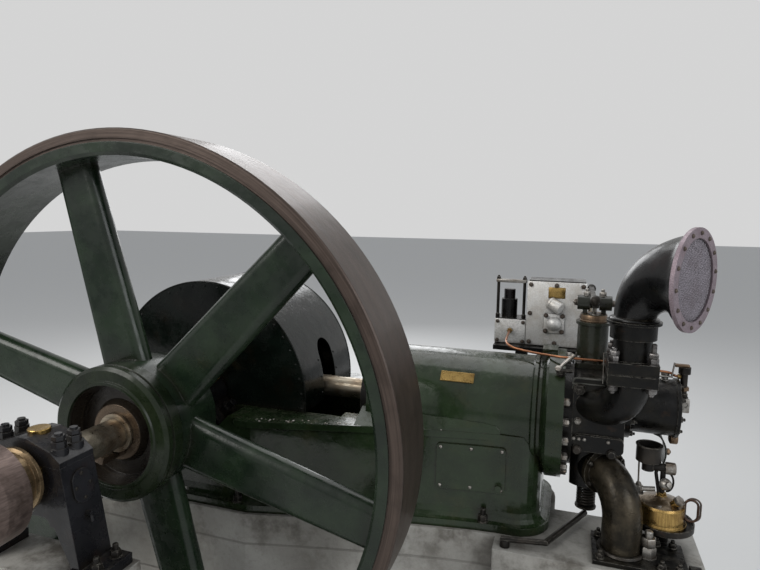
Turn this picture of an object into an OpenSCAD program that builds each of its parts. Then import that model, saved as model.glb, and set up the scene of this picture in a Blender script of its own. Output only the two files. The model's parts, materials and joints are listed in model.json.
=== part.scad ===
// Horizontal single-cylinder lamp-start oil engine with outboard bearing.
// X runs along the cylinder from crank to head, Y along the crankshaft away
// from the flywheel, Z up. The origin is on the floor, under the crossing of
// the crankshaft axis and the cylinder axis.

/* [Flywheel] */
// Outer radius of the flywheel rim
wheel_r = 1000; // [900:5:1050]
// Width of the rim across its tread
rim_w = 242; // [200:1:260]
// Radial depth of the rim
rim_d = 85; // [70:1:110]
// Distance from the cylinder axis to the near face of the rim
wheel_off = 740; // [730:1:800]
// Number of spokes
spoke_n = 6; // [5:1:8]
// Half thickness of a spoke across the wheel plane
spoke_t = 34; // [26:1:40]
// Radius of the hub drum
hub_r = 232; // [215:1:250]
// Length of the hub drum past the near face of the rim
hub_out = 45; // [35:1:70]
// Length of the key's head past the hub boss
key_l = 60; // [40:1:80]
// Running gap between the rim and the pit floor
wheel_gap = 30; // [20:1:80]

/* [Crankshaft] */
// Half of the piston stroke
crank_r = 230; // [220:1:240]
// Radius of the main journals
main_r = 60; // [54:1:64]
// Radius of the outboard journal
tail_r = 50; // [46:1:54]
// Radius of the shaft's free end, past the pulley
end_r = 44; // [40:1:45]
// Length of the shaft's free end
end_l = 60; // [40:5:80]
// Radius of the crank pin
pin_r = 60; // [54:1:62]
// Half length of the crank pin between the webs
pin_half = 105; // [98:1:110]
// Thickness of one crank web
web_t = 85; // [75:1:90]
// Outer radius of the big-end bearing
big_end_r = 95; // [88:1:96]
// Radial running clearance of the journals
journal_gap = 0.05; // [0.02:0.01:0.1]

/* [Outboard bearing] */
// Distance from the cylinder axis to the middle of the outboard bearing
tail_off = 1034; // [1020:1:1060]
// Half length of the outboard bearing
tail_half = 58; // [52:1:62]
// Height of the shaft above the sole of the pedestal
pedestal_h = 278; // [268:1:300]
// Half width of the pedestal under its cap
pedestal_top = 133; // [128:1:140]
// Half width of the pedestal at its foot
pedestal_foot = 182; // [174:1:196]
// Radius of the end pulley
pulley_r = 135; // [125:1:145]
// Width of the end pulley
pulley_w = 150; // [120:1:180]

/* [Bed] */
// Height of the shaft above the underside of the bed
bed_h = 400; // [385:1:430]
// Drop from the shaft to the top ledge of the bed
ledge_drop = 45; // [40:1:55]
// How far the ledge stands out from the side of the bed
ledge_out = 20; // [12:1:24]
// Half width of the bed at the crank
bed_half = 384; // [376:1:396]
// Length of the bed behind the crankshaft
bed_tail = 500; // [495:1:540]
// Corner radius of the bed's end under the cylinder
bed_corner = 90; // [60:5:110]
// Half width of the crank pit
pit_half = 228; // [224:1:231]
// Wall of the bed casting
bed_wall = 28; // [22:1:34]

/* [Cylinder] */
// Radius of the cylinder bore
bore_r = 150; // [145:1:152]
// Wall of the cylinder liner
liner_t = 22; // [18:1:24]
// Outer radius of the water jacket
jacket_r = 205; // [201:1:210]
// Length of the water jacket
jacket_l = 720; // [700:1:730]
// Outer radius of the jacket's end flange
flange_r = 239; // [234:1:246]
// Length of the trunk piston
piston_l = 440; // [420:1:450]
// Distance between crank pin and gudgeon pin
rod_l = 920; // [910:1:930]

/* [Head] */
// Length of the cylinder head block
head_l = 170; // [160:1:180]
// Half width of the cylinder head block
head_half = 180; // [172:1:184]
// Radius of the vaporiser
vapour_r = 100; // [92:1:106]
// Length of the vaporiser
vapour_l = 184; // [170:1:195]
// Radius of the inlet pipe
inlet_r = 57; // [52:1:60]
// Outer radius of the horn's mouth ring
mouth_r = 157; // [150:1:165]
// Radius of the exhaust bend
exhaust_r = 64; // [58:1:68]

/* [Lamp] */
// Radius of the lamp's tank
tank_r = 80; // [72:1:86]
// Height of the tank's straight side
tank_h = 76; // [68:1:86]

/* [Guard] */
// Inner radius of the crank guard
guard_r = 450; // [445:1:460]
// Thickness of the guard's sheet
sheet = 5; // [3:1:6]
// Half width of the rod slot in the guard
slot_half = 62; // [60:1:75]

/* [Hidden] */
// Smoothness of large and small round forms
$fn = 96;
fine = 48;
// Gap left between fixed castings whose curved faces meet
seat_gap = 0.3;

raft_t = 60;
shaft_h = wheel_r + wheel_gap + raft_t;
block_top = shaft_h - bed_h;
block_edge = 15;

rim_y0 = -wheel_off;
rim_y1 = rim_y0 + rim_w;
hub_y0 = rim_y0 - hub_out;
hub_y1 = rim_y1 + 18;
drum_seam = rim_y0 + 40;
boss_y = hub_y0 + 40;
boss_r = 95;
seat_r = main_r + 6;

bearing_y0 = pit_half + 22;
bearing_y1 = bed_half;
brass_t = 20;
brass_out = 3;
cap_tilt = 45;
cap_reach = 165;
cap_seat = 8;
collar_t = 16;

pedestal_y0 = -tail_off - tail_half;
pedestal_y1 = -tail_off + tail_half;
pedestal_brass = 18;
pedestal_jaw = 40;
foot_step = 30;
collar_y1 = pedestal_y0 - 10;
collar_y0 = collar_y1 - 70;
pulley_y0 = collar_y0 - pulley_w;

// Crown of the piston at its dead centre, with the head's face just past it
gudgeon_x = crank_r + rod_l;
crown_x = gudgeon_x + 245;
flange_x = crown_x + 25;
jacket_x0 = flange_x - jacket_l;
liner_r = bore_r + liner_t;

foot_t = 29;
foot_out = 35;
cove = 37;
bed_x1 = flange_x - 64;
taper_x0 = 290;
taper_l = bed_x1 - 146 - taper_x0;
pit_x1 = jacket_x0 - 100;
lip_t = 26;
shoulder_x = flange_x - 480;
shoulder_rise = 35;

head_x0 = flange_x + 30;
head_x1 = head_x0 + head_l;
head_z0 = -70;
head_z1 = 190;
vapour_z = 62;
vapour_x1 = head_x1 + vapour_l;
tap_x = vapour_x1 + 16;
valve_x = flange_x + 88;
valve_z = 358;
rocker_z = 425;

inlet_x = flange_x + 201;
inlet_y = -head_half - 60;
elbow_z = 93;
stack_z0 = 207;
stack_joint = 242;
stack_z1 = 282;
stack_half = 75;
neck_z1 = 352;
collar_z1 = 410;
horn_dir = -31;
horn_rise = 145;
horn_neck_r = 62;
horn_wall = 8;
bend_end = 0.893;
mouth_run = 20;

chest_x = flange_x + 95;
chest_y = -40;
chest_r = 85;
chest_z0 = 168 - bed_h;
bend_r = 125;
bend_z = 243 - bed_h;
exhaust_x = flange_x + 207;
exhaust_y = chest_y - 183;
exhaust_dir = atan2(exhaust_y - chest_y, exhaust_x - chest_x);
plate_t = 15;
lever_z = chest_z0 - 135.3;

lamp_x = flange_x + 337;
lamp_y = -120;
tray_x = lamp_x + 8;
tray_z = 80 - bed_h;
tank_z = tray_z + 5;
cone_h = 24;
loop_x = lamp_x + tank_r + 8;
loop_y = lamp_y - 34;
loop_z = tank_z + tank_h - 4;
loop_half = 17;
loop_r = 21;

side_y = bed_half + 50;
side_z = -90;
side_r = 22;
box_x = flange_x - 164;
box_y = jacket_r + 53;
box_z = 190;

// Round bars along the three axes, placed from the shaft centre
module y_bar(r, y0, y1, x = 0, z = 0) {
    translate([x, y0, z]) rotate([-90, 0, 0]) cylinder(r = r, h = y1 - y0);
}

module x_bar(r, x0, x1, y = 0, z = 0) {
    translate([x0, y, z]) rotate([0, 90, 0]) cylinder(r = r, h = x1 - x0);
}

module z_bar(r, z0, z1, x = 0, y = 0) {
    translate([x, y, z0]) cylinder(r = r, h = z1 - z0);
}

// A box from its lowest to its highest corner
module span(a, b) {
    translate(a) cube(b - a);
}

// Everything above the floor is placed from the shaft centre
module at_shaft() {
    translate([0, 0, shaft_h]) children();
}

module both_sides() {
    for (s = [0, 1]) mirror([0, s, 0]) children();
}

// A profile in X and Z, extruded from y0 to y1
module plate_y(y0, y1) {
    translate([0, y1, 0]) rotate([90, 0, 0]) linear_extrude(y1 - y0) children();
}

// A profile in Y and Z, extruded from x0 to x1
module plate_x(x0, x1) {
    translate([x0, 0, 0]) rotate([90, 0, 90]) linear_extrude(x1 - x0) children();
}

// A profile in X and Y, extruded from z0 to z1
module plate_z(z0, z1) {
    translate([0, 0, z0]) linear_extrude(z1 - z0) children();
}

// A rectangle with round corners, in exact arcs
module soft_rect(a, b, r) {
    translate([a[0] + r, a[1]]) square([b[0] - a[0] - 2 * r, b[1] - a[1]]);
    translate([a[0], a[1] + r]) square([b[0] - a[0], b[1] - a[1] - 2 * r]);
    for (x = [a[0] + r, b[0] - r]) for (y = [a[1] + r, b[1] - r]) translate([x, y]) circle(r, $fn = fine);
}

// A hexagonal nut on its stud, standing on the plane z = 0
module nut(r, h, stud) {
    cylinder(r = r, h = h, $fn = 6);
    cylinder(r = r * 0.55, h = stud, $fn = fine);
}

// Points and faces of a round tube swept along a path
function unit(v) = v / norm(v);
function way(p, i) = unit(p[min(i + 1, len(p) - 1)] - p[max(i - 1, 0)]);
function side_of(t, up) = unit(cross(t, up));
function ring_at(c, t, r, n, up) = let (s = side_of(t, up), u = cross(t, s))
    [for (k = [0:n - 1]) c + r * (cos(360 * k / n) * s + sin(360 * k / n) * u)];
function skin(m, n) = concat(
    [for (i = [0:m - 2]) for (k = [0:n - 1]) [i * n + k, (i + 1) * n + k, (i + 1) * n + (k + 1) % n]],
    [for (i = [0:m - 2]) for (k = [0:n - 1]) [i * n + k, (i + 1) * n + (k + 1) % n, i * n + (k + 1) % n]],
    [for (k = [1:n - 2]) [0, k, k + 1]],
    [for (k = [1:n - 2]) [(m - 1) * n, (m - 1) * n + k + 1, (m - 1) * n + k]]);

module swept(p, r, n = 10, up = [0, 0, 1]) {
    rings = [for (i = [0:len(p) - 1]) each ring_at(p[i], way(p, i), r, n, up)];
    polyhedron(rings, skin(len(p), n), convexity = 6);
}

// Half width of the bed in plan: it narrows in a curve from crank to cylinder
function taper(x) = min(1, max(0, (x - taper_x0) / taper_l));
function bed_width(x) = jacket_r + (bed_half - jacket_r) * pow(1 - taper(x), 1.3);
function ledge_width(x) = bed_width(x) + ledge_out * (1 - taper(x));
function rise(x) = min(1, max(0, (x - shoulder_x) / (taper_x0 + taper_l - shoulder_x)));
function ledge_z(x) = -ledge_drop + shoulder_rise * rise(x);

// One side of the bed's plan, grown by out, and by an edge that fades with the taper
function plan_side(out, edge) = concat(
    [[-bed_tail, bed_half + out + edge]],
    [for (i = [0:12]) let (x = taper_x0 + taper_l * i / 12) [x, bed_width(x) + out + edge * (1 - taper(x))]],
    [for (a = [90:-15:0]) [bed_x1 - bed_corner + out, jacket_r - bed_corner]
        + (bed_corner + out) * [cos(a), sin(a)] - [out, 0]]);

function plan_loop(out = 0, edge = 0) = let (side = plan_side(out, edge), last = len(side) - 1)
    concat([[-bed_tail, 0]], side, [for (i = [last:-1:0]) [side[i][0], -side[i][1]]]);

module bed_plan(out = 0, edge = 0) {
    polygon(plan_loop(out, edge));
}

// The foundation: engine block, head block, outboard block and the raft under the wheel
module foundation() {
    outboard_top = shaft_h - pedestal_h;
    outboard_half = pedestal_foot + 68 + block_edge;
    outboard_y0 = pedestal_y0 - 8 - block_edge;
    outboard_y1 = pedestal_y1 + 8 + block_edge;
    engine_edge = bed_half + foot_out + block_edge;
    color("gray") {
        plate_z(0, block_top) bed_plan(foot_out + block_edge);
        span([flange_x - 210, exhaust_y - 120, 0], [tray_x + tank_r + 40, 10, block_top]);
        span([-outboard_half, outboard_y0, 0], [outboard_half, outboard_y1, outboard_top]);
        span([-outboard_half, outboard_y1 - 1, 0], [outboard_half, -engine_edge + 20, raft_t]);
    }
}

// A point given along and above the slope of the main bearings
function on_slope(along, above) = [
    along * cos(cap_tilt) + above * sin(cap_tilt), above * cos(cap_tilt) - along * sin(cap_tilt)
];

// Cheek of the bed that carries a main bearing on its slope
module bed_cheek() {
    low = on_slope(cap_reach + 1, -cap_seat);
    high = on_slope(-cap_reach - 1, -cap_seat);
    foot_x = high[0] - 85;
    polygon([
        [foot_x, -ledge_drop - lip_t], [foot_x, -ledge_drop], [high[0] - 70, high[1] - 80],
        [high[0] - 45, high[1] - 35], high, low
    ]);
}

// Sloping shelf from the widest line of the jacket down to the ledge
module bed_shoulder() {
    x0 = jacket_x0 - 20;
    x1 = taper_x0 + taper_l - 2;
    low = -ledge_drop - lip_t / 2;
    stations = [for (i = [0:8]) x0 + (x1 - x0) * i / 8];
    rings = [for (x = stations) let (w = ledge_width(x) - 1.5, z = ledge_z(x) - 2) each [
        [x, -w, low], [x, w, low], [x, w, z], [x, jacket_r - 2, 0], [x, 2 - jacket_r, 0], [x, -w, z]
    ]];
    polyhedron(rings, skin(9, 6), convexity = 4);
}

// Cove that joins the side of the bed to its foot
module bed_cove() {
    z0 = foot_t - bed_h - 1;
    bends = [[0, 1], [0.15, 0.55], [0.45, 0.2], [1, 0]];
    rings = [for (b = bends) for (q = plan_loop(0.5 + (foot_out - 6) * b[1])) [q[0], -q[1], z0 + cove * b[0]]];
    polyhedron(rings, skin(len(bends), len(plan_loop())), convexity = 4);
}

module jacket_form(grow) {
    bead = 9;
    rotate([0, 90, 0]) rotate_extrude() polygon([
        [0, jacket_x0 - grow], [jacket_r + 18 + grow, jacket_x0 - grow],
        [jacket_r + 18 + grow, jacket_x0 + 34],
        [jacket_r + grow, jacket_x0 + 46], [jacket_r + grow, flange_x - 112],
        [jacket_r + bead + grow, flange_x - 106], [jacket_r + bead + grow, flange_x - 94],
        [jacket_r + grow, flange_x - 88], [jacket_r + grow, flange_x - 78],
        [jacket_r + bead + grow, flange_x - 72], [flange_r - 10 + grow, flange_x - 64],
        [flange_r + grow, flange_x - 56], [flange_r + grow, flange_x], [0, flange_x]
    ]);
}

module bed() {
    trough = jacket_r - bed_wall;
    floor_z = 45 - bed_h;
    brass_r = main_r + journal_gap + brass_t;
    color("darkgreen") at_shaft() difference() {
        union() {
            plate_z(-bed_h, -ledge_drop) bed_plan();
            plate_z(-bed_h, foot_t - bed_h) bed_plan(foot_out);
            difference() {
                plate_z(-ledge_drop - lip_t, -ledge_drop) bed_plan(0, ledge_out);
                both_sides() span([-230, bed_half, -bed_h], [230, bed_half + 100, 0]);
            }
            both_sides() plate_y(bearing_y0, bearing_y1) bed_cheek();
            bed_shoulder();
            bed_cove();
        }
        span([-bed_tail + 70, -pit_half, floor_z], [pit_x1, pit_half, 200]);
        span([pit_x1 - 1, -trough, floor_z], [jacket_x0 - 20, trough, 200]);
        jacket_form(seat_gap);
        x_bar(liner_r + 1, pit_x1, flange_x);
        both_sides() {
            y_bar(brass_r, bearing_y0 - 1, bearing_y1 + 1);
            y_bar(main_r + collar_t + 8, pit_half - 1, bearing_y0 + 2);
            rotate([0, cap_tilt, 0])
                span([-cap_reach - 1, bearing_y0, -cap_seat], [cap_reach + 1, bearing_y1 + 1, cap_reach]);
        }
    }
}

module bed_door() {
    door_t = 8;
    x0 = flange_x - 435;
    x1 = flange_x - 188;
    color("darkgreen") at_shaft() {
        difference() {
            intersection() {
                plate_z(-265, -92) bed_plan(door_t);
                plate_y(-bed_half, 0) soft_rect([x0, -265], [x1, -92], 14);
            }
            plate_z(-bed_h, 0) bed_plan();
        }
        y_bar(12, -bed_width(x1 - 22) - door_t - 16, -bed_width(x1 - 22) - door_t + 2, x = x1 - 22, z = -240);
    }
}

module water_jacket() {
    color("darkgreen") at_shaft() {
        difference() {
            jacket_form(0);
            x_bar(liner_r + journal_gap, jacket_x0 - 2, flange_x + 2);
        }
        difference() {
            span([flange_x - 85, -45, 150], [flange_x - 30, 45, flange_r + 8]);
            x_bar(jacket_r - 3, jacket_x0, flange_x);
        }
    }
}

module cylinder_liner() {
    color("dimgray") at_shaft() difference() {
        x_bar(liner_r, jacket_x0 - 42, flange_x);
        x_bar(bore_r, jacket_x0 - 60, flange_x + 2);
    }
}

module piston() {
    skirt = crown_x - piston_l;
    gudgeon_r = 32;
    wall = 14;
    ring_w = 8;
    color("silver") at_shaft() {
        y_bar(gudgeon_r, wall - 1 - bore_r, bore_r - wall + 1, x = gudgeon_x);
        difference() {
            x_bar(bore_r - 0.1, skirt, crown_x);
            x_bar(bore_r - wall, skirt - 2, gudgeon_x - 80);
            intersection() {
                x_bar(bore_r - wall, gudgeon_x - 82, crown_x - 34);
                span([gudgeon_x - 82, -62, -bore_r], [crown_x - 34, 62, bore_r]);
            }
            for (x = [crown_x - 30, crown_x - 50, crown_x - 70]) difference() {
                x_bar(bore_r + 2, x, x + ring_w);
                x_bar(bore_r - 7, x - 1, x + ring_w + 1);
            }
        }
    }
}

module connecting_rod() {
    palm_x = crank_r + big_end_r + 6;
    palm_t = 42;
    color("silver") at_shaft() difference() {
        union() {
            plate_x(palm_x, palm_x + palm_t) soft_rect([-55, -105], [55, 105], 18);
            translate([palm_x + palm_t, 0, 0]) rotate([0, 90, 0]) cylinder(r1 = 52, r2 = 44, h = 40);
            translate([palm_x + palm_t + 40, 0, 0]) rotate([0, 90, 0])
                cylinder(r1 = 44, r2 = 36, h = gudgeon_x - palm_x - palm_t - 40);
            y_bar(60, -52, 52, x = gudgeon_x);
        }
        y_bar(32.1, -60, 60, x = gudgeon_x);
    }
}

module crank_guard() {
    outer = guard_r + sheet;
    half = pit_half + 12;
    foot = -ledge_drop;
    slot_top = 205;
    color("darkslategray") at_shaft() difference() {
        y_bar(outer, -half, half, $fn = 128);
        y_bar(guard_r, -half + sheet, half - sheet, $fn = 128);
        span([-outer - 1, -half - 1, -outer - 1], [outer + 1, half + 1, foot]);
        span([-95, -half - 1, foot - 1], [95, half + 1, 0]);
        y_bar(95, -half - 1, half + 1);
        span([300, -slot_half, foot - 1], [outer + 1, slot_half, slot_top - slot_half]);
        x_bar(slot_half, 300, outer + 1, z = slot_top - slot_half);
    }
}

// One main bearing cap on the sloping face of its housing, with its nuts
module bearing_cap(y0, y1) {
    ear = 68;
    arch = 108;
    mid = (y0 + y1) / 2;
    color("darkslategray") at_shaft() rotate([0, cap_tilt, 0]) {
        difference() {
            translate([0, 0, -cap_seat]) plate_y(y0, y1) {
                translate([-cap_reach, 0]) square([2 * cap_reach, ear]);
                intersection() {
                    circle(arch);
                    translate([-arch, 0]) square(arch * 2);
                }
            }
            y_bar(main_r + journal_gap + brass_t, y0 - 1, y1 + 1);
        }
        for (x = [-130, 130]) translate([x, mid, ear - cap_seat]) nut(27, 30, 60);
    }
}

module main_bearing_caps() {
    bearing_cap(-bearing_y1, -bearing_y0);
    bearing_cap(bearing_y0, bearing_y1);
}

module main_brasses() {
    color("goldenrod") at_shaft() both_sides() difference() {
        y_bar(main_r + brass_t, bearing_y0 - brass_out, bearing_y1 + brass_out);
        y_bar(main_r + journal_gap, bearing_y0 - 10, bearing_y1 + 10);
    }
}

module pedestal() {
    foot_half = pedestal_foot + 68;
    knee = foot_step - pedestal_h;
    arch_z = 143 - pedestal_h;
    slot = tail_r + journal_gap + pedestal_brass;
    color("darkslategray") at_shaft() difference() {
        union() {
            plate_y(pedestal_y0, pedestal_y1) polygon([
                [-pedestal_foot, knee], [pedestal_foot, knee],
                [pedestal_top, pedestal_jaw], [-pedestal_top, pedestal_jaw]
            ]);
            span([-foot_half, pedestal_y0 - 8, -pedestal_h], [foot_half, pedestal_y1 + 8, knee + 1]);
        }
        y_bar(tail_r + journal_gap + pedestal_brass, pedestal_y0 - 1, pedestal_y1 + 1);
        span([-slot, pedestal_y0 - 1, 0], [slot, pedestal_y1 + 1, pedestal_jaw + 1]);
        plate_y(pedestal_y0 - 10, pedestal_y1 + 10) {
            polygon([[-150, -pedestal_h - 1], [150, -pedestal_h - 1], [150, knee + 12], [100, arch_z],
                [-100, arch_z], [-150, knee + 12]]);
            translate([-60, arch_z - 15]) square([120, 40]);
            for (x = [-60, 60]) translate([x, arch_z]) circle(25);
        }
    }
}

// Cap with sloping shoulders, four double nuts on flat bosses and the oil lid
module pedestal_cap() {
    ear = 56;
    seat = 86;
    crown = 112;
    color("darkslategray") at_shaft() {
        difference() {
            plate_y(pedestal_y0, pedestal_y1) polygon([
                [-pedestal_top, pedestal_jaw], [pedestal_top, pedestal_jaw], [pedestal_top, ear],
                [99, seat - 2], [18, crown], [-18, crown], [-99, seat - 2], [-pedestal_top, ear]
            ]);
            y_bar(tail_r + journal_gap + pedestal_brass, pedestal_y0 - 1, pedestal_y1 + 1);
        }
        for (x = [-99, 99]) for (y = [-26, 26]) translate([x, y - tail_off, 0]) {
            z_bar(24, ear - 4, seat);
            translate([0, 0, seat]) nut(20, 20, 42);
            translate([0, 0, seat + 22]) cylinder(r = 18, h = 13, $fn = 6);
        }
        z_bar(30, crown - 8, crown + 8, y = -tail_off);
    }
}

module pedestal_brasses() {
    outer = tail_r + pedestal_brass;
    color("goldenrod") at_shaft() difference() {
        union() {
            y_bar(outer, pedestal_y0 - 4, pedestal_y1 + 4);
            span([-outer, pedestal_y0 - 4, 0], [outer, pedestal_y1 + 4, pedestal_jaw]);
        }
        y_bar(tail_r + journal_gap, pedestal_y0 - 5, pedestal_y1 + 5);
    }
}

// Oval inspection plates and drain cocks on both slopes of the pedestal
module pedestal_covers() {
    lean = atan2(pedestal_foot - pedestal_top, pedestal_h - foot_step + pedestal_jaw);
    color("dimgray") at_shaft() for (s = [0, 1]) mirror([s, 0, 0])
        translate([pedestal_top, -tail_off, pedestal_jaw]) rotate([0, 90 - lean, 0]) {
            linear_extrude(7) soft_rect([22, -33], [116, 33], 30);
            translate([150, 0, 0]) cylinder(r = 7, h = 22, $fn = fine);
            translate([150, 0, 16]) rotate([0, 90, 0]) cylinder(r = 6, h = 24, $fn = fine);
        }
}

module crankshaft() {
    web_y0 = pin_half;
    web_y1 = pin_half + web_t;
    neck_r = 79;
    cheek_r = 143;
    color("silver") at_shaft() {
        y_bar(end_r, pulley_y0 - end_l, pulley_y0 + 1);
        y_bar(tail_r - 2, pulley_y0, collar_y1);
        y_bar(tail_r, collar_y1, hub_y0 + 30);
        y_bar(seat_r, hub_y0 + 30, -bearing_y1 - 6);
        y_bar(main_r, -bearing_y1 - 6, -bearing_y0 + 6);
        y_bar(main_r + collar_t, -bearing_y0 + 6, -web_y1);
        y_bar(main_r + collar_t, web_y1, bearing_y0 - 6);
        y_bar(main_r, bearing_y0 - 6, bearing_y1 + 96);
        y_bar(pin_r, -web_y0, web_y0, x = crank_r);
        for (y = [-web_y1, web_y0]) plate_y(y, y + web_t) {
            translate([-110, -neck_r]) square([crank_r + 110, 2 * neck_r]);
            translate([crank_r, 0]) circle(neck_r);
            translate([-110, 0]) circle(cheek_r);
        }
    }
}

module big_end_bearing() {
    color("goldenrod") at_shaft() difference() {
        union() {
            y_bar(big_end_r, -pin_half + 26, pin_half - 26, x = crank_r);
            y_bar(big_end_r - 12, -pin_half + 1, pin_half - 1, x = crank_r);
        }
        y_bar(pin_r + journal_gap, -pin_half - 1, pin_half + 1, x = crank_r);
    }
}

// A tapered spoke with round edges, from the hub to the rim
module spoke(r0, r1) {
    wide = 62;
    narrow = 44;
    mid = (rim_y0 + rim_y1) / 2;
    lean = atan2(wide - narrow, r1 - r0);
    plate_y(mid - spoke_t, mid + spoke_t)
        polygon([[r0, -wide], [r1, -narrow], [r1, narrow], [r0, wide]]);
    for (s = [-1, 1]) translate([r0, mid, s * wide]) rotate([0, 90 + s * lean, 0])
        cylinder(r = spoke_t, h = norm([r1 - r0, wide - narrow]), $fn = fine);
}

module flywheel() {
    inner = wheel_r - rim_d;
    core = hub_r - 6;
    groove = wheel_r - 38;
    half_w = 5;
    deep = 6;
    color("saddlebrown") at_shaft() {
        rotate([-90, 0, 0]) rotate_extrude($fn = 180) polygon([
            [inner, rim_y0 + 10], [inner + 10, rim_y0],
            [groove - half_w, rim_y0], [groove - half_w, rim_y0 + deep],
            [groove + half_w, rim_y0 + deep], [groove + half_w, rim_y0],
            [wheel_r - 5, rim_y0], [wheel_r, rim_y0 + 5], [wheel_r, rim_y1 - 5], [wheel_r - 5, rim_y1],
            [groove + half_w, rim_y1], [groove + half_w, rim_y1 - deep],
            [groove - half_w, rim_y1 - deep], [groove - half_w, rim_y1],
            [inner + 10, rim_y1], [inner, rim_y1 - 10]
        ]);
        difference() {
            union() {
                rotate([-90, 0, 0]) rotate_extrude() polygon([
                    [seat_r + 1, drum_seam], [core, drum_seam], [core, hub_y1 - 60], [core - 10, hub_y1 - 52],
                    [core - 10, hub_y1 - 12], [core - 22, hub_y1], [seat_r + 1, hub_y1]
                ]);
                for (i = [0:spoke_n - 1]) rotate([0, 360 * i / spoke_n + 15, 0]) spoke(core - 30, inner + 8);
            }
            y_bar(seat_r + journal_gap, hub_y0 - 5, hub_y1 + 5);
        }
    }
}

// Hub drum with its dished face, and the head of the key that locks it
module hub_drum() {
    dish = 172;
    key_turn = 195;
    color("darkgreen") at_shaft() {
        rotate([-90, 0, 0]) rotate_extrude() polygon([
            [seat_r + journal_gap, drum_seam], [seat_r + journal_gap, boss_y], [boss_r, boss_y],
            [boss_r + 15, boss_y + 26], [dish - 14, boss_y + 26], [dish - 4, hub_y0 + 10], [dish, hub_y0],
            [dish + 10, hub_y0], [dish + 14, hub_y0 + 6], [hub_r - 12, hub_y0 + 6], [hub_r, hub_y0 + 16],
            [hub_r, hub_y0 + 34], [hub_r - 5, hub_y0 + 36], [hub_r - 5, hub_y0 + 42], [hub_r, hub_y0 + 44],
            [hub_r, drum_seam]
        ]);
        rotate([0, key_turn, 0]) span([-16, boss_y - key_l, seat_r + 2], [16, boss_y + 1, boss_r - 3]);
    }
}

module end_pulley() {
    color("saddlebrown") at_shaft() rotate([-90, 0, 0]) rotate_extrude() polygon([
        [tail_r - 2 + journal_gap, pulley_y0], [70, pulley_y0], [74, pulley_y0 + 20],
        [pulley_r - 18, pulley_y0 + 24], [pulley_r - 14, pulley_y0], [pulley_r, pulley_y0],
        [pulley_r + 3, (pulley_y0 + collar_y0) / 2],
        [pulley_r, collar_y0 - 6], [pulley_r - 8, collar_y0], [tail_r - 2 + journal_gap, collar_y0]
    ]);
}

module pulley_collar() {
    color("goldenrod") at_shaft() rotate([-90, 0, 0]) rotate_extrude() polygon([
        [tail_r - 2 + journal_gap, collar_y0], [96, collar_y0], [88, collar_y0 + 26], [84, collar_y1 - 22],
        [92, collar_y1 - 16], [92, collar_y1 - 6], [84, collar_y1], [tail_r - 2 + journal_gap, collar_y1]
    ]);
}

module cylinder_head() {
    band = 12;
    color("dimgray") at_shaft() {
        x_bar(jacket_r - 20, flange_x, head_x0 + 1);
        plate_y(-head_half, head_half) soft_rect([head_x0, head_z0], [head_x1, head_z1], 22);
        plate_y(-head_half - band, head_half + band) soft_rect([head_x0 + 9, head_z0], [head_x1, -12], 18);
    }
}

module vaporiser() {
    color("dimgray") at_shaft() {
        x_bar(vapour_r + 24, head_x1, head_x1 + 26, z = vapour_z);
        x_bar(vapour_r, head_x1 + 20, vapour_x1 - 10, z = vapour_z);
        x_bar(vapour_r + 6, vapour_x1 - 12, vapour_x1, z = vapour_z);
        x_bar(46, vapour_x1 - 1, vapour_x1 + 0.7, z = vapour_z);
    }
}

module vaporiser_tap() {
    color("dimgray") at_shaft() {
        x_bar(16, vapour_x1 + 0.7, tap_x + 16, z = vapour_z + 30);
        z_bar(12, vapour_z + 14, 192, x = tap_x);
        z_bar(20, 190, 214, x = tap_x);
        span([tap_x - 32, -9, 213], [tap_x + 14, 9, 222]);
        z_bar(15, 96, 118, x = tap_x);
    }
}

module intake_elbow() {
    turn = 139;
    bulge = inlet_r + 5;
    throat = stack_z0 - elbow_z;
    color("dimgray") at_shaft() difference() {
        translate([inlet_x, inlet_y, stack_z0]) {
            translate([-stack_half, -stack_half, 0]) cube([2 * stack_half, 2 * stack_half, stack_joint - stack_z0]);
            rotate([0, 0, turn]) {
                translate([throat, 0, 0]) rotate([90, 0, 180]) rotate_extrude(angle = -90)
                    translate([throat, 0]) circle(bulge);
                translate([throat, 0, -throat]) rotate([0, 90, 0]) cylinder(r = bulge, h = 150);
            }
        }
        span([flange_x - 120, -head_half, -200], [flange_x + 380, 200, 300]);
    }
}

module intake_neck() {
    color("dimgray") at_shaft() translate([inlet_x, inlet_y, 0]) {
        span([-stack_half, -stack_half, stack_joint + 2], [stack_half, stack_half, stack_z1]);
        span([5 - stack_half, 5 - stack_half, stack_joint], [stack_half - 5, stack_half - 5, stack_joint + 3]);
        z_bar(inlet_r + 2, stack_z1 - 1, neck_z1);
        z_bar(71, neck_z1, collar_z1 - 8);
        z_bar(83, collar_z1 - 9, collar_z1);
    }
}

// Outer and inner surface of the flared horn, as one closed shell
horn_steps = 14;
horn_sides = 36;
function horn_r(t) = horn_neck_r + (mouth_r - 10 - horn_neck_r) * pow(t, 1.5);
function horn_turn(t) = 90 * min(1, t / bend_end);
function horn_c(t) = let (a = horn_turn(t), run = mouth_run * max(0, t - bend_end) / (1 - bend_end))
    [horn_rise * (1 - cos(a)) + run, 0, horn_rise * sin(a)];
function horn_ring(t, d) = let (a = horn_turn(t), c = horn_c(t))
    [for (k = [0:horn_sides - 1]) let (q = 360 * k / horn_sides, r = horn_r(t) - d)
        c + r * (cos(q) * [cos(a), 0, -sin(a)] + sin(q) * [0, 1, 0])];

module horn_solid(d) {
    rings = [for (i = [0:horn_steps]) each horn_ring(i / horn_steps, d)];
    polyhedron(rings, skin(horn_steps + 1, horn_sides));
}

module at_horn() {
    translate([inlet_x, inlet_y, shaft_h + collar_z1]) rotate([0, 0, horn_dir]) children();
}

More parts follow.
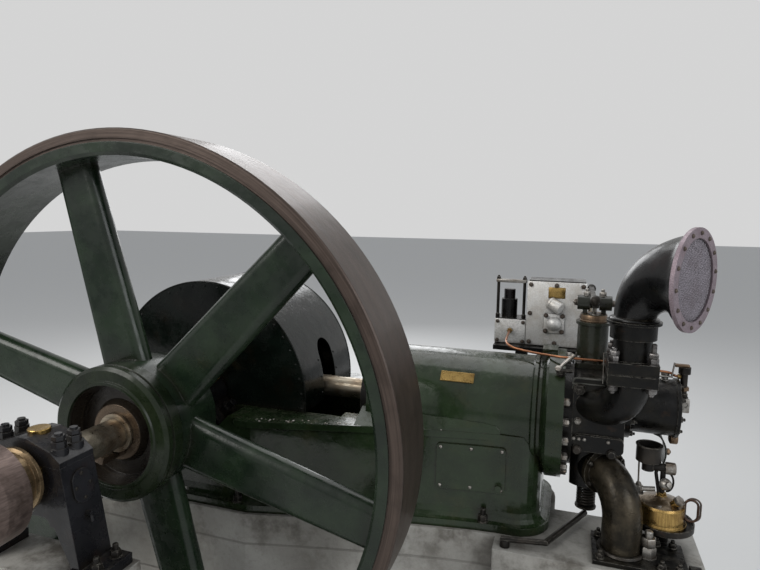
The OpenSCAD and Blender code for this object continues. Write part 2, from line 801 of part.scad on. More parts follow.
module intake_horn() {
    color("dimgray") at_horn() difference() {
        horn_solid(0);
        translate([1, 0, 0]) horn_solid(horn_wall);
    }
}

module mouth_ring() {
    x0 = horn_c(1)[0];
    ring_w = 32;
    color("rosybrown") at_horn() difference() {
        x_bar(mouth_r, x0, x0 + 12, z = horn_rise);
        x_bar(mouth_r - ring_w, x0 - 1, x0 + 13, z = horn_rise);
    }
}

module mouth_gauze() {
    x0 = horn_c(1)[0];
    color("gray") at_horn() x_bar(mouth_r - 32.1, x0 + 2, x0 + 6, z = horn_rise);
}

// Inlet valve housing with its cap nut and the two bosses of the rocker's pin
module valve_housing() {
    color("darkgreen") at_shaft() difference() {
        union() {
            plate_z(head_z1, head_z1 + 20) soft_rect([valve_x - 57, -62], [valve_x + 57, 62], 16);
            z_bar(54, head_z1 + 19, valve_z - 10, x = valve_x);
            z_bar(61, valve_z - 11, valve_z, x = valve_x);
            z_bar(46, valve_z - 1, valve_z + 28, x = valve_x);
            for (s = [-1, 1]) {
                span([valve_x + s * 32 - 8, -12, valve_z + 27], [valve_x + s * 32 + 8, 12, rocker_z]);
                x_bar(27, valve_x + s * 38 - 21, valve_x + s * 38 + 21, z = rocker_z);
            }
        }
        x_bar(9.1, valve_x - 90, valve_x + 90, z = rocker_z);
    }
}

module valve_rocker() {
    color("dimgray") at_shaft() {
        x_bar(9, valve_x - 62, valve_x + 62, z = rocker_z);
        x_bar(20, valve_x - 15, valve_x + 15, z = rocker_z);
        translate([valve_x, -58, rocker_z + 16]) sphere(19);
        span([valve_x - 9, -58, rocker_z - 12], [valve_x + 9, side_y, rocker_z + 12]);
        translate([valve_x, side_y, rocker_z]) sphere(20);
    }
}

module push_rod() {
    roller = side_z + 34.3;
    color("dimgray") at_shaft() {
        z_bar(9, roller + 6, rocker_z - 20.3, x = valve_x, y = side_y);
        z_bar(18, roller, roller + 26, x = valve_x, y = side_y);
    }
}

module exhaust_chest() {
    color("dimgray") at_shaft() {
        difference() {
            z_bar(chest_r, chest_z0, head_z0, x = chest_x, y = chest_y);
            span([flange_x - 20, -chest_r - 80, chest_z0 - 1], [head_x0 + 2, chest_r + 80, head_z0 + 1]);
        }
        translate([chest_x, chest_y, bend_z]) rotate([0, 0, exhaust_dir]) rotate([0, 90, 0])
            cylinder(r = exhaust_r + 8, h = norm([exhaust_x - chest_x, exhaust_y - chest_y]) - bend_r);
        z_bar(46, chest_z0 - 18, chest_z0 + 1, x = chest_x, y = chest_y);
    }
}

module exhaust_bend() {
    base = bend_z - bend_r;
    color("dimgray") at_shaft() translate([exhaust_x, exhaust_y, 0]) rotate([0, 0, exhaust_dir]) {
        translate([-bend_r, 0, base]) rotate([90, 0, 0]) rotate_extrude(angle = 90)
            translate([bend_r, 0]) circle(exhaust_r);
        translate([-bend_r, 0, bend_z]) rotate([0, 90, 0]) cylinder(r = exhaust_r + 18, h = 16);
        translate([0, 0, plate_t - bed_h]) cylinder(r = exhaust_r, h = base + bed_h - plate_t);
    }
}

module exhaust_plate() {
    x1 = exhaust_x + 201;
    color("dimgray") at_shaft() {
        span([exhaust_x - 92, exhaust_y - 97, -bed_h], [x1, exhaust_y + 93, plate_t - bed_h]);
        x_bar(17, x1, x1 + 32, y = exhaust_y - 67, z = 20 - bed_h);
    }
}

module exhaust_spring() {
    z0 = chest_z0 - 110;
    turns = 7;
    step = 30;
    wire = 4.5;
    color("dimgray") at_shaft() translate([chest_x, chest_y, 0]) {
        z_bar(9, z0 - 14, chest_z0 - 18);
        z_bar(38, z0, z0 + 8);
        swept([for (a = [0:step:360 * turns])
            [30 * cos(a), 30 * sin(a), z0 + 12 + (chest_z0 - 34.8 - z0) * a / 360 / turns]], wire, 8);
    }
}

module exhaust_lever() {
    pivot_x = flange_x - 170;
    pivot_y = exhaust_y - 90;
    color("dimgray") at_shaft() {
        swept([[pivot_x - 15, pivot_y - 2, lever_z - 6], [flange_x - 35, pivot_y + 17, lever_z - 3],
            [chest_x, chest_y, lever_z]], 11, 8);
        z_bar(17, -bed_h, lever_z - 6, x = pivot_x, y = pivot_y);
    }
}

// Lamp tank with its filler lug and oval finger loop
module lamp_tank() {
    wire = 4;
    color("goldenrod") at_shaft() translate([lamp_x, lamp_y, 0]) rotate_extrude() polygon([
        [0, tank_z], [tank_r + 1, tank_z], [tank_r + 3, tank_z + 3], [tank_r + 3, tank_z + 8],
        [tank_r - 1, tank_z + 20], [tank_r - 4, tank_z + tank_h - 6], [tank_r - 9, tank_z + tank_h],
        [24, tank_z + tank_h + cone_h - 8],
        [14, tank_z + tank_h + cone_h], [0, tank_z + tank_h + cone_h]
    ]);
    color("sienna") at_shaft() {
        for (s = [0, 1]) translate([loop_x, loop_y, loop_z + (s == 0 ? loop_half : -loop_half)])
            rotate([90, 0, 0]) rotate([0, 0, 180 * s]) rotate_extrude(angle = 180)
                translate([loop_r, 0]) circle(wire, $fn = 24);
        for (x = [-loop_r, loop_r])
            z_bar(wire, loop_z - loop_half, loop_z + loop_half, x = loop_x + x, y = loop_y);
    }
}

module lamp_burner() {
    z0 = tank_z + tank_h + cone_h;
    arm_z = tray_z + 202;
    cup_x = lamp_x - 49;
    cup_z = tray_z + 222;
    cup_h = 58;
    cup_r = 41;
    color("dimgray") at_shaft() {
        z_bar(9, z0, arm_z - 2, x = lamp_x, y = lamp_y);
        x_bar(14, cup_x, lamp_x + 22, y = lamp_y, z = arm_z);
        z_bar(20, arm_z - 14, cup_z + 2, x = cup_x, y = lamp_y);
        difference() {
            z_bar(cup_r, cup_z, cup_z + cup_h, x = cup_x, y = lamp_y);
            z_bar(cup_r - 6, cup_z + 10, cup_z + cup_h + 1, x = cup_x, y = lamp_y);
        }
        x_bar(20, lamp_x + 20, lamp_x + 34, y = lamp_y, z = arm_z);
    }
}

module lamp_tray() {
    rim = tank_r + 20;
    color("dimgray") at_shaft() {
        translate([tray_x, lamp_y, 0]) rotate_extrude() polygon([
            [0, tray_z], [rim, tray_z], [rim, tray_z + 20], [rim - 5, tray_z + 20], [rim - 5, tray_z + 5],
            [0, tray_z + 5]
        ]);
        z_bar(30, -bed_h, tray_z + 1, x = tray_x, y = lamp_y + 40);
    }
}

// Governor and fuel pump in their box, on a bracket bolted to the bed's far side
module pump_box() {
    shelf_t = 18;
    wall_y = jacket_r + seat_gap;
    post_x = bed_x1 - bed_corner - 52;
    pump_x = box_x - 136;
    color("dimgray") at_shaft() {
        span([box_x, box_y, box_z], [box_x + 226, box_y + 130, box_z + 280]);
        span([pump_x, box_y + 6, box_z], [box_x, box_y + 110, box_z + 110]);
        z_bar(34, box_z + 109, box_z + 190, x = pump_x + 52, y = box_y + 56);
        z_bar(24, box_z + 189, box_z + 232, x = pump_x + 52, y = box_y + 56);
        span([pump_x, wall_y, box_z - shelf_t], [box_x + 226, box_y + 120, box_z + 1]);
        span([post_x, wall_y, -170], [post_x + 50, wall_y + 32, box_z - shelf_t + 1]);
    }
}

// Bright covers of the box: the large plate with its knob and pipe flange, and the small plate
module pump_covers() {
    plate = 8;
    color("silver") at_shaft() {
        plate_y(box_y - plate, box_y) soft_rect([box_x - 6, box_z + 4], [box_x + 231, box_z + 276], 8);
        plate_y(box_y - 2, box_y + 6) soft_rect([box_x - 138, box_z + 3], [box_x - 7, box_z + 107], 8);
        y_bar(27, box_y - 44, box_y - plate, x = box_x + 107, z = box_z + 103);
        plate_y(box_y - 2 * plate, box_y - plate)
            soft_rect([box_x + 64, box_z + 60], [box_x + 150, box_z + 146], 6);
        y_bar(40, box_y - 34, box_y - plate, x = box_x + 112, z = box_z + 182);
    }
}

module fuel_pipe() {
    start = [box_x - 72, box_y - 2.3, 250];
    color("chocolate") at_shaft() swept([
        start, start - [0, 28, 0], [box_x - 66, 60, 244], [box_x - 41, 0, 236], [box_x + 4, -20, 230],
        [flange_x - 90, -60, 231], [flange_x - 20, -104, 236], [flange_x + 50, -100, 234],
        [flange_x + 140, -84, 228], [flange_x + 240, -70, 212], [flange_x + 340, -24, 196],
        [flange_x + 366, 0, 181], [tap_x - 13.4, 0, 176]
    ], 4.5, 8);
}

module jacket_cock() {
    cock_x = flange_x - 16;
    color("dimgray") at_shaft() rotate([40, 0, 0]) {
        z_bar(9, flange_r + seat_gap, flange_r + 29, x = cock_x);
        z_bar(15, flange_r + 11, flange_r + 23, x = cock_x);
        span([cock_x - 6, -5, flange_r + 25], [cock_x + 40, 5, flange_r + 33]);
    }
}

module name_plate() {
    tilt = 48;
    color("goldenrod") at_shaft() rotate([tilt, 0, 0])
        span([flange_x - 445, -20, jacket_r], [flange_x - 320, 20, jacket_r + 3]);
}

// Side shaft with the cams that work the valves and the pump
module side_shaft() {
    color("silver") at_shaft() {
        x_bar(side_r, main_r + 44, flange_x + 110, y = side_y, z = side_z);
        for (x = [valve_x - 18, valve_x - 70, box_x - 140])
            x_bar(side_r + 12, x, x + 36, y = side_y, z = side_z);
    }
}

// Gear case on the crankshaft's far end, and the brackets of the side shaft
module side_brackets() {
    case_y1 = bearing_y1 + 100;
    case_r = main_r + 44;
    arm = 36;
    color("darkgreen") at_shaft() {
        difference() {
            union() {
                y_bar(case_r, bearing_y1, case_y1);
                x_bar(49, 40, case_r + 6, y = side_y, z = side_z);
                span([-60, bearing_y1, side_z - 52], [60, case_y1, 0]);
            }
            y_bar(main_r + 6, bearing_y1 - 1, case_y1 + 1);
            y_bar(main_r + brass_t + 1, bearing_y1 - 1, bearing_y1 + 6);
            x_bar(side_r + 0.1, case_r - 14, case_r + 16, y = side_y, z = side_z);
        }
        for (x = [taper_x0 + 230, bed_x1 - bed_corner - arm - 60]) difference() {
            union() {
                x_bar(side_r + 16, x, x + arm, y = side_y, z = side_z);
                span([x, jacket_r - 5, side_z - 22], [x + arm, side_y, side_z + 16]);
            }
            x_bar(side_r + 0.1, x - 1, x + arm + 1, y = side_y, z = side_z);
            plate_z(-bed_h, -ledge_drop) bed_plan();
        }
    }
}

foundation();
bed();
bed_door();
water_jacket();
cylinder_liner();
piston();
connecting_rod();
crank_guard();
main_bearing_caps();
main_brasses();
pedestal();
pedestal_cap();
pedestal_brasses();
pedestal_covers();
crankshaft();
big_end_bearing();
flywheel();
hub_drum();
end_pulley();
pulley_collar();
cylinder_head();
vaporiser();
vaporiser_tap();
intake_elbow();
intake_neck();
intake_horn();
mouth_ring();
mouth_gauze();
valve_housing();
valve_rocker();
push_rod();
exhaust_chest();
exhaust_bend();
exhaust_plate();
exhaust_spring();
exhaust_lever();
lamp_tank();
lamp_burner();
lamp_tray();
pump_box();
pump_covers();
fuel_pipe();
jacket_cock();
name_plate();
side_shaft();
side_brackets();
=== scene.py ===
"""Looks of the horizontal oil engine: materials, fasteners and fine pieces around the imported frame."""

import json
import math
import random

import bmesh
import bpy
from mathutils import Matrix, Vector


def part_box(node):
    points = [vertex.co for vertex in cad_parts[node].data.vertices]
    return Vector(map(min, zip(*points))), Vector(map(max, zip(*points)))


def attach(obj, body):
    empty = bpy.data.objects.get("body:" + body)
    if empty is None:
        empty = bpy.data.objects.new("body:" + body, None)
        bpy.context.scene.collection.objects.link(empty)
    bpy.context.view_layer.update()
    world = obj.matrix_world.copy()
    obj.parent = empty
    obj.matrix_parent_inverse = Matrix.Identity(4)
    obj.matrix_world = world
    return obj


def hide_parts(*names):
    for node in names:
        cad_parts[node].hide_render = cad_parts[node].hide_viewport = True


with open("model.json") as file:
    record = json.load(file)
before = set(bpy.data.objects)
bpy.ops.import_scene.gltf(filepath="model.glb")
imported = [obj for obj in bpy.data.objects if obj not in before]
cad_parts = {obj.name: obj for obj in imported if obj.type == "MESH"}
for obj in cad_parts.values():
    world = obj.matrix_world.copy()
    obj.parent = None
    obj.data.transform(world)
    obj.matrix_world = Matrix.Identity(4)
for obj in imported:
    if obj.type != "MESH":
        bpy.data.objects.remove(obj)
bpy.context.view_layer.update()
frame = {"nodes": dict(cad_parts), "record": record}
nodes = frame["nodes"]
ENGINE, CRANK = "engine", "crank"
X, Y, Z = Vector((1, 0, 0)), Vector((0, 1, 0)), Vector((0, 0, 1))
SIDES = (-1, 1)
QUARTERS = [(sx, sy) for sx in SIDES for sy in SIDES]


def plan_middle(node):
    """The middle of a frame node's box in plan, at height 0."""
    low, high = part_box(node)
    return Vector(((low.x + high.x) / 2, (low.y + high.y) / 2, 0))


# Main lines of the frame, in metres
SHAFT = 1.09
flange_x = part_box("water_jacket")[1][0]
jacket_r, bed_half = 0.205, 0.384
bed_high, block_top = SHAFT - 0.045, SHAFT - 0.4
pump_x, pump_y, pump_z = flange_x - 0.164, jacket_r + 0.053, SHAFT + 0.19
stack = plan_middle("intake_neck")
tank_low, tank_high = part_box("lamp_tank")
tank_shoulder = tank_low.z + 0.076
lamp = Vector((flange_x + 0.337, -0.12, 0))

# Half widths of the head block, in millimetres: its plain face, and the thicker band
head_half, head_band = 180, 192


def offsets(x0, y0, z0):
    """A function that gives points by their distances in millimetres from a place in the frame."""
    return lambda x, y, z: Vector((x0 + x / 1000, y0 + y / 1000, z0 + z / 1000))


vaporiser_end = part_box("vaporiser")[1].x
by_flange = offsets(flange_x, 0, SHAFT)
by_vaporiser_end = offsets(vaporiser_end, 0, SHAFT)
by_lamp = offsets(lamp.x, lamp.y, SHAFT)
by_pump = offsets(pump_x, pump_y, pump_z)


class Look:
    """A Principled material, with short calls that add procedural nodes to it."""

    def __init__(self, name, metallic=0.0, roughness=0.5, coat=0.0, coat_roughness=0.08, specular=0.5):
        self.material = bpy.data.materials.new(name)
        self.material.use_nodes = True
        self.tree = self.material.node_tree
        self.shader = self.tree.nodes["Principled BSDF"]
        settings = {"Metallic": metallic, "Roughness": roughness, "Coat Weight": coat,
                    "Coat Roughness": coat_roughness, "Specular IOR Level": specular}
        for key, value in settings.items():
            self.shader.inputs[key].default_value = value
        self.place = self.node("ShaderNodeTexCoord").outputs["Object"]
        self.normal = None

    def put(self, socket, value):
        """Links a socket to another node's output, or sets it to a number, a vector or an RGB colour."""
        if isinstance(value, bpy.types.NodeSocket):
            self.tree.links.new(value, socket)
        elif isinstance(value, tuple) and len(value) == 3 and socket.type == "RGBA":
            socket.default_value = (*value, 1)
        else:
            socket.default_value = value

    def node(self, kind, inputs=None, **settings):
        made = self.tree.nodes.new(kind)
        for key, value in settings.items():
            setattr(made, key, value)
        for key, value in (inputs or {}).items():
            self.put(made.inputs[key], value)
        return made

    def math(self, operation, a, b=0.0):
        return self.node("ShaderNodeMath", {0: a, 1: b}, operation=operation).outputs[0]

    def times(self, a, b):
        return self.math("MULTIPLY", a, b)

    def stretch(self, place, factors):
        made = self.node("ShaderNodeVectorMath", {0: place, 1: factors}, operation="MULTIPLY")
        return made.outputs[0]

    def noise(self, scale, detail=3.0, rough=0.55, place=None, stretch=None):
        place = place or self.place
        if stretch:
            place = self.stretch(place, stretch)
        inputs = {"Vector": place, "Scale": scale, "Detail": detail, "Roughness": rough}
        return self.node("ShaderNodeTexNoise", inputs).outputs["Fac"]

    def cells(self, scale):
        """Distance to the middle of scattered cells."""
        return self.node("ShaderNodeTexVoronoi", {"Vector": self.place, "Scale": scale}).outputs["Distance"]

    def band(self, value, low, high, out_low=0.0, out_high=1.0):
        """Maps low to out_low and high to out_high, smoothly and clamped."""
        inputs = {"Value": value, "From Min": low, "From Max": high, "To Min": out_low, "To Max": out_high}
        return self.node("ShaderNodeMapRange", inputs, interpolation_type="SMOOTHSTEP").outputs["Result"]

    def patches(self, scale, detail, rough, low, high, out_low=0.0, out_high=1.0):
        """Soft-edged patches of noise: a band of it, from low to high."""
        return self.band(self.noise(scale, detail, rough), low, high, out_low, out_high)

    def mix(self, factor, a, b):
        made = self.node("ShaderNodeMix", data_type="RGBA")
        self.put(made.inputs["Factor"], factor)
        self.put(made.inputs[6], a)
        self.put(made.inputs[7], b)
        return made.outputs[2]

    def stain(self, tone, mask, amount, colour):
        """Lays a colour over the tone by an amount, where the mask is 1."""
        return self.mix(self.times(mask, amount), tone, colour)

    def painted_crevice_shade(self, distance):
        """1 in corners and under overhangs, 0 on open faces: the mask for painted shade."""
        shade = self.node("ShaderNodeAmbientOcclusion", {"Distance": distance}, samples=6).outputs["AO"]
        return self.band(shade, 0.35, 0.85, 1.0, 0.0)

    def edge(self, radius):
        """1 along edges, for wear and for painted edge highlights: where a rounded normal leaves the true
        one.
        """
        soft = self.node("ShaderNodeBevel", {"Radius": radius}, samples=4).outputs["Normal"]
        true = self.node("ShaderNodeNewGeometry").outputs["Normal"]
        both = self.node("ShaderNodeVectorMath", {0: soft, 1: true}, operation="DOT_PRODUCT").outputs["Value"]
        return self.band(self.math("SUBTRACT", 1.0, both), 0.02, 0.12)

    def upward(self):
        """1 on faces that look up, where dust and ash lie."""
        true = self.node("ShaderNodeNewGeometry").outputs["Normal"]
        return self.band(self.node("ShaderNodeSeparateXYZ", {0: true}).outputs["Z"], 0.55, 0.95)

    def axes(self):
        """X, Y and height over the shaft's axis."""
        split = self.node("ShaderNodeSeparateXYZ", {0: self.place})
        return split.outputs["X"], split.outputs["Y"], self.math("SUBTRACT", split.outputs["Z"], SHAFT)

    def radius(self, x, z):
        """Distance from the shaft's axis."""
        return self.math("SQRT", self.math("ADD", self.times(x, x), self.times(z, z)))

    def bump(self, height, distance):
        made = self.node("ShaderNodeBump", {"Height": height, "Distance": distance, "Strength": 1.0})
        if self.normal:
            self.tree.links.new(self.normal, made.inputs["Normal"])
        self.normal = made.outputs["Normal"]

    def soften(self, radius):
        self.normal = self.node("ShaderNodeBevel", {"Radius": radius}, samples=4).outputs["Normal"]

    def finish(self, colour, roughness=None, metallic=None):
        inputs = {"Base Color": colour, "Roughness": roughness, "Metallic": metallic, "Normal": self.normal}
        for key, value in inputs.items():
            if value is not None:
                self.put(self.shader.inputs[key], value)
        return self.material


def enamel(name, colour, lumps=0.0011, dust=0.25, gloss=0.16, coat=0.3):
    """Thick brushed enamel over a rough casting: lumpy, glossy, with oily grime and painted shade in the
    corners.
    """
    look = Look(name, coat=coat, coat_roughness=0.09, specular=0.25)
    deep = tuple(c * 0.5 for c in colour)
    warm = (colour[0] * 1.5 + 0.006, colour[1] * 1.02, colour[2] * 0.75)
    tone = look.mix(look.patches(5, 4, 0.6, 0.38, 0.66), deep, colour)
    tone = look.mix(look.patches(11, 5, 0.65, 0.5, 0.75, 0, 0.45), tone, warm)
    # Painted shade: darker in corners and under overhangs, broken into patches like oily grime.
    grime_and_crevice_shade = look.times(look.painted_crevice_shade(0.05), look.patches(22, 4, 0.6, 0.25, 0.6, 0.3, 1))
    tone = look.stain(tone, grime_and_crevice_shade, 0.75, (0.012, 0.009, 0.005))
    fluff = look.times(look.upward(), look.patches(34, 6, 0.7, 0.45, 0.7))
    tone = look.stain(tone, fluff, dust, (0.09, 0.078, 0.055))
    worn = look.times(look.edge(0.0022), look.patches(60, 4, 0.7, 0.52, 0.7))
    tone = look.stain(tone, worn, 0.6, (0.12, 0.105, 0.085))
    drops = look.times(look.band(look.cells(110), 0.05, 0.13, 1, 0), look.patches(9, 2, 0.55, 0.52, 0.68))
    tone = look.stain(tone, drops, 0.35, (0.02, 0.014, 0.007))
    rough = look.patches(17, 5, 0.65, 0.3, 0.75, gloss, gloss + 0.22)
    rough = look.math("ADD", rough, look.times(fluff, 0.3))
    look.soften(0.0035)
    look.bump(look.noise(16, 3, 0.5), lumps * 2.2)
    look.bump(look.noise(52, 3, 0.5), lumps * 0.75)
    look.bump(look.noise(190, 2, 0.5), lumps * 0.12)
    return look.finish(tone, rough)


def oily_iron(name, colour, tint, metallic=0.15, grain=0.0006, gloss=0.3):
    """Blackened cast iron with burnt oil on it."""
    look = Look(name, metallic=metallic, coat=0.06, coat_roughness=0.16, specular=0.2)
    tone = look.mix(look.patches(9, 5, 0.65, 0.4, 0.68), colour, tint)
    rust = look.patches(24, 6, 0.7, 0.58, 0.76, 0, 0.55)
    tone = look.mix(rust, tone, (0.04, 0.021, 0.011))
    ash = look.times(look.upward(), look.patches(46, 5, 0.7, 0.46, 0.68, 0, 0.35))
    tone = look.mix(ash, tone, (0.075, 0.068, 0.056))
    # Painted shade: much darker in corners and under overhangs.
    tone = look.stain(tone, look.painted_crevice_shade(0.03), 0.8, (0.006, 0.005, 0.004))
    # Pale worn edges, which also stand in as painted edge highlights.
    worn = look.times(look.edge(0.003), look.patches(75, 3, 0.55, 0.36, 0.56))
    tone = look.stain(tone, worn, 0.75, (0.22, 0.205, 0.175))
    look.soften(0.0025)
    look.bump(look.noise(24, 3, 0.55), grain * 3)
    look.bump(look.noise(150, 4, 0.6), grain)
    return look.finish(tone, look.patches(30, 5, 0.6, 0.3, 0.72, gloss, gloss + 0.28))


def steel(name, colour, stain, stretch=(1, 1, 1), rough=0.26, metallic=0.9, stained=0.6):
    """Worn bright metal: drawn lines along one direction, oil film and brown stains."""
    look = Look(name, metallic=metallic)
    lines = look.noise(260, 3, 0.6, stretch=stretch)
    shaded = tuple(c * 0.62 for c in colour)
    tone = look.mix(look.band(lines, 0.3, 0.7), shaded, colour)
    tone = look.mix(look.patches(14, 5, 0.65, 0.42, 0.68, 0, stained), tone, stain)
    # Painted shade: darker in corners and under overhangs.
    tone = look.stain(tone, look.painted_crevice_shade(0.02), 0.75, (0.012, 0.009, 0.006))
    look.soften(0.0012)
    look.bump(lines, 0.00006)
    look.bump(look.noise(30, 3), 0.0002)
    return look.finish(tone, look.patches(40, 4, 0.6, 0.3, 0.7, rough, rough + 0.2))


def wheel_look():
    """Turned brown rim; green enamel on its inner band, on the spokes and on the hub."""
    look = Look("flywheel_finish", coat=0.12, coat_roughness=0.14, specular=0.3)
    x, y, z = look.axes()
    r = look.radius(x, z)
    turn = look.math("ARCTAN2", z, x)
    turned = {0: look.times(r, 420.0), 1: look.times(y, 420.0), 2: look.times(turn, 3.0)}
    groove_place = look.node("ShaderNodeCombineXYZ", turned).outputs[0]
    streak = look.noise(1.0, 4, 0.65, place=groove_place)
    broad = look.noise(0.06, 2, 0.5, place=groove_place)
    bare = look.band(r, 0.9565, 0.958)
    brown = look.mix(look.band(streak, 0.3, 0.7), (0.042, 0.03, 0.024), (0.098, 0.072, 0.06))
    brown = look.mix(look.band(broad, 0.4, 0.65, 0, 0.5), brown, (0.05, 0.038, 0.031))
    smear = look.patches(6, 5, 0.65, 0.48, 0.72, 0, 0.6)
    brown = look.mix(smear, brown, (0.024, 0.017, 0.013))
    green_patch = look.patches(6, 4, 0.6, 0.36, 0.66)
    green = look.mix(green_patch, (0.0055, 0.011, 0.006), (0.013, 0.024, 0.012))
    # Painted shade on the green: darker in corners and under overhangs.
    green = look.stain(green, look.painted_crevice_shade(0.06), 0.75, (0.01, 0.008, 0.005))
    rough_green = look.patches(17, 4, 0.6, 0.3, 0.75, 0.18, 0.4)
    rough_brown = look.band(streak, 0.25, 0.75, 0.34, 0.52)
    rough = look.node("ShaderNodeMix", {0: bare, 2: rough_green, 3: rough_brown}, data_type="FLOAT")
    look.soften(0.004)
    look.bump(look.noise(15, 3), 0.0018)
    look.bump(look.times(streak, bare), 0.00025)
    return look.finish(look.mix(bare, green, brown), rough.outputs[0], look.times(bare, 0.6))


def lamp_look():
    """Golden brass on the tank's wall, a duller stained dome, and a dark brown finger loop."""
    look = Look("lamp_brass_finish", metallic=0.9)
    x, _, z = look.axes()
    lines = look.noise(200, 3, 0.6, stretch=(1, 1, 0.05))
    wall = look.mix(look.band(lines, 0.3, 0.7), (0.26, 0.165, 0.055), (0.44, 0.29, 0.1))
    wall = look.mix(look.patches(16, 5, 0.65, 0.42, 0.68, 0, 0.6), wall, (0.15, 0.085, 0.03))
    dome = look.mix(look.patches(26, 5, 0.7, 0.4, 0.64), (0.13, 0.095, 0.06), (0.33, 0.27, 0.2))
    shoulder, seam = tank_shoulder - SHAFT, 0.0015
    tone = look.mix(look.band(z, shoulder - seam, shoulder + seam), wall, dome)
    # Painted shade: darker in corners and under overhangs.
    tone = look.stain(tone, look.painted_crevice_shade(0.012), 0.7, (0.02, 0.013, 0.007))
    loop_x = tank_high.x - 0.048
    tone = look.mix(look.band(x, loop_x, loop_x + 0.004), tone, (0.055, 0.032, 0.022))
    look.soften(0.001)
    look.bump(look.noise(34, 3), 0.0003)
    return look.finish(tone, look.patches(40, 4, 0.6, 0.3, 0.7, 0.22, 0.4))


def hub_look():
    """Green drum; dark oily dish; a turned boss face."""
    look = Look("hub_finish", coat=0.08, coat_roughness=0.14, specular=0.22)
    x, _, z = look.axes()
    r = look.radius(x, z)
    rings = look.node("ShaderNodeCombineXYZ", {0: look.times(r, 500.0)}).outputs[0]
    ring = look.noise(1.0, 4, 0.6, place=rings)
    green = look.mix(look.patches(7, 4, 0.6, 0.36, 0.66), (0.0045, 0.0085, 0.0035), (0.012, 0.019, 0.008))
    dish = look.mix(look.band(ring, 0.35, 0.7), (0.008, 0.006, 0.005), (0.03, 0.024, 0.017))
    boss = look.mix(look.band(ring, 0.3, 0.7), (0.05, 0.036, 0.025), (0.15, 0.11, 0.078))
    in_dish = look.band(r, 0.168, 0.171, 1, 0)
    in_boss = look.band(r, 0.0945, 0.0965, 1, 0)
    tone = look.mix(in_boss, look.mix(in_dish, green, dish), boss)
    # Painted shade: darker in corners and under overhangs.
    tone = look.stain(tone, look.painted_crevice_shade(0.04), 0.7, (0.008, 0.006, 0.004))
    look.soften(0.003)
    look.bump(look.noise(18, 3), 0.0013)
    look.bump(look.times(ring, in_dish), 0.0004)
    return look.finish(tone, look.patches(18, 5, 0.65, 0.3, 0.75, 0.18, 0.42), look.times(in_boss, 0.8))


def concrete_look():
    """Poured concrete with board marks, oil soaked in near the top, and chipped edges."""
    look = Look("concrete_finish", roughness=0.85, specular=0.3)
    tone = look.mix(look.patches(2.2, 5, 0.6, 0.35, 0.7), (0.3, 0.29, 0.265), (0.44, 0.43, 0.4))
    tone = look.mix(look.patches(60, 4, 0.7, 0.45, 0.75, 0, 0.5), tone, (0.25, 0.24, 0.22))
    height = look.node("ShaderNodeSeparateXYZ", {0: look.place}).outputs["Z"]
    heights = {"Vector": look.stretch(look.place, (0, 0, 1)), "Scale": 1.65}
    boards = look.node("ShaderNodeTexWave", heights, bands_direction="Z").outputs["Fac"]
    line = look.band(boards, 0.0, 0.012, 1, 0)
    tone = look.stain(tone, line, 0.5, (0.17, 0.16, 0.145))
    oil = look.times(look.band(height, 0.35, 0.75), look.patches(3.4, 6, 0.7, 0.45, 0.62))
    tone = look.stain(tone, oil, 0.8, (0.06, 0.05, 0.038))
    # Painted shade: darker and greyer in corners and under overhangs.
    tone = look.stain(tone, look.painted_crevice_shade(0.12), 0.6, (0.1, 0.092, 0.08))
    chips = look.times(look.edge(0.006), look.patches(30, 4, 0.55, 0.4, 0.6))
    tone = look.stain(tone, chips, 0.7, (0.5, 0.49, 0.46))
    look.soften(0.008)
    look.bump(look.noise(7, 5, 0.65), 0.004)
    look.bump(look.noise(90, 5, 0.7), 0.0012)
    look.bump(look.times(line, -1.0), 0.002)
    return look.finish(tone, look.patches(12, 3, 0.55, 0.3, 0.7, 0.7, 0.9))


def gauze_back_look():
    """Dark cloth of the same gauze, seen between its wires."""
    look = Look("gauze_back_finish", roughness=0.8, metallic=0.2)
    tone = look.mix(look.patches(11, 4, 0.6, 0.35, 0.65), (0.1, 0.09, 0.105), (0.24, 0.22, 0.25))
    look.bump(look.noise(420, 2), 0.0004)
    return look.finish(tone)


green = enamel("green_enamel", (0.018, 0.033, 0.013), dust=0.2, gloss=0.13)
guard_green = enamel("guard_enamel", (0.0035, 0.0065, 0.0045), lumps=0.0006, dust=0.2, gloss=0.15, coat=0.12)
black = enamel("black_enamel", (0.0045, 0.0045, 0.005), lumps=0.0007, dust=0.3, gloss=0.2, coat=0.15)
pedestal_black = enamel("pedestal_enamel", (0.017, 0.017, 0.02), lumps=0.0006, gloss=0.2, coat=0.12)
housing_green = enamel("housing_enamel", (0.024, 0.027, 0.019), lumps=0.0006, dust=0.2, gloss=0.18, coat=0.2)
head = oily_iron("head_iron_oiled", (0.0022, 0.0022, 0.0022), (0.009, 0.008, 0.0055), 0.1, gloss=0.24)
edge_iron = oily_iron("edge_iron_worn", (0.045, 0.047, 0.04), (0.11, 0.11, 0.1), 0.3, 0.0003)
bend_iron = oily_iron("exhaust_iron_glossy", (0.014, 0.012, 0.0085), (0.06, 0.049, 0.033), 0.6, 0.0008, 0.2)
dark = oily_iron("dark_iron_worn", (0.011, 0.01, 0.009), (0.034, 0.029, 0.024), 0.4, 0.0003)
stud_steel = steel("stud_steel_oiled", (0.24, 0.23, 0.225), (0.03, 0.026, 0.024), rough=0.24, stained=0.9)
bright = steel("bright_steel_oiled", (0.42, 0.37, 0.29), (0.17, 0.105, 0.055), (0.04, 1, 1))
nickel = steel("nut_steel", (0.36, 0.345, 0.32), (0.1, 0.07, 0.045), rough=0.28, stained=0.8)
rusty = steel("screw_brown", (0.11, 0.085, 0.068), (0.045, 0.03, 0.022), rough=0.42, metallic=0.5)
rim = steel("turned_brown_steel", (0.25, 0.19, 0.17), (0.1, 0.072, 0.06), (1, 0.1, 1), rough=0.3)
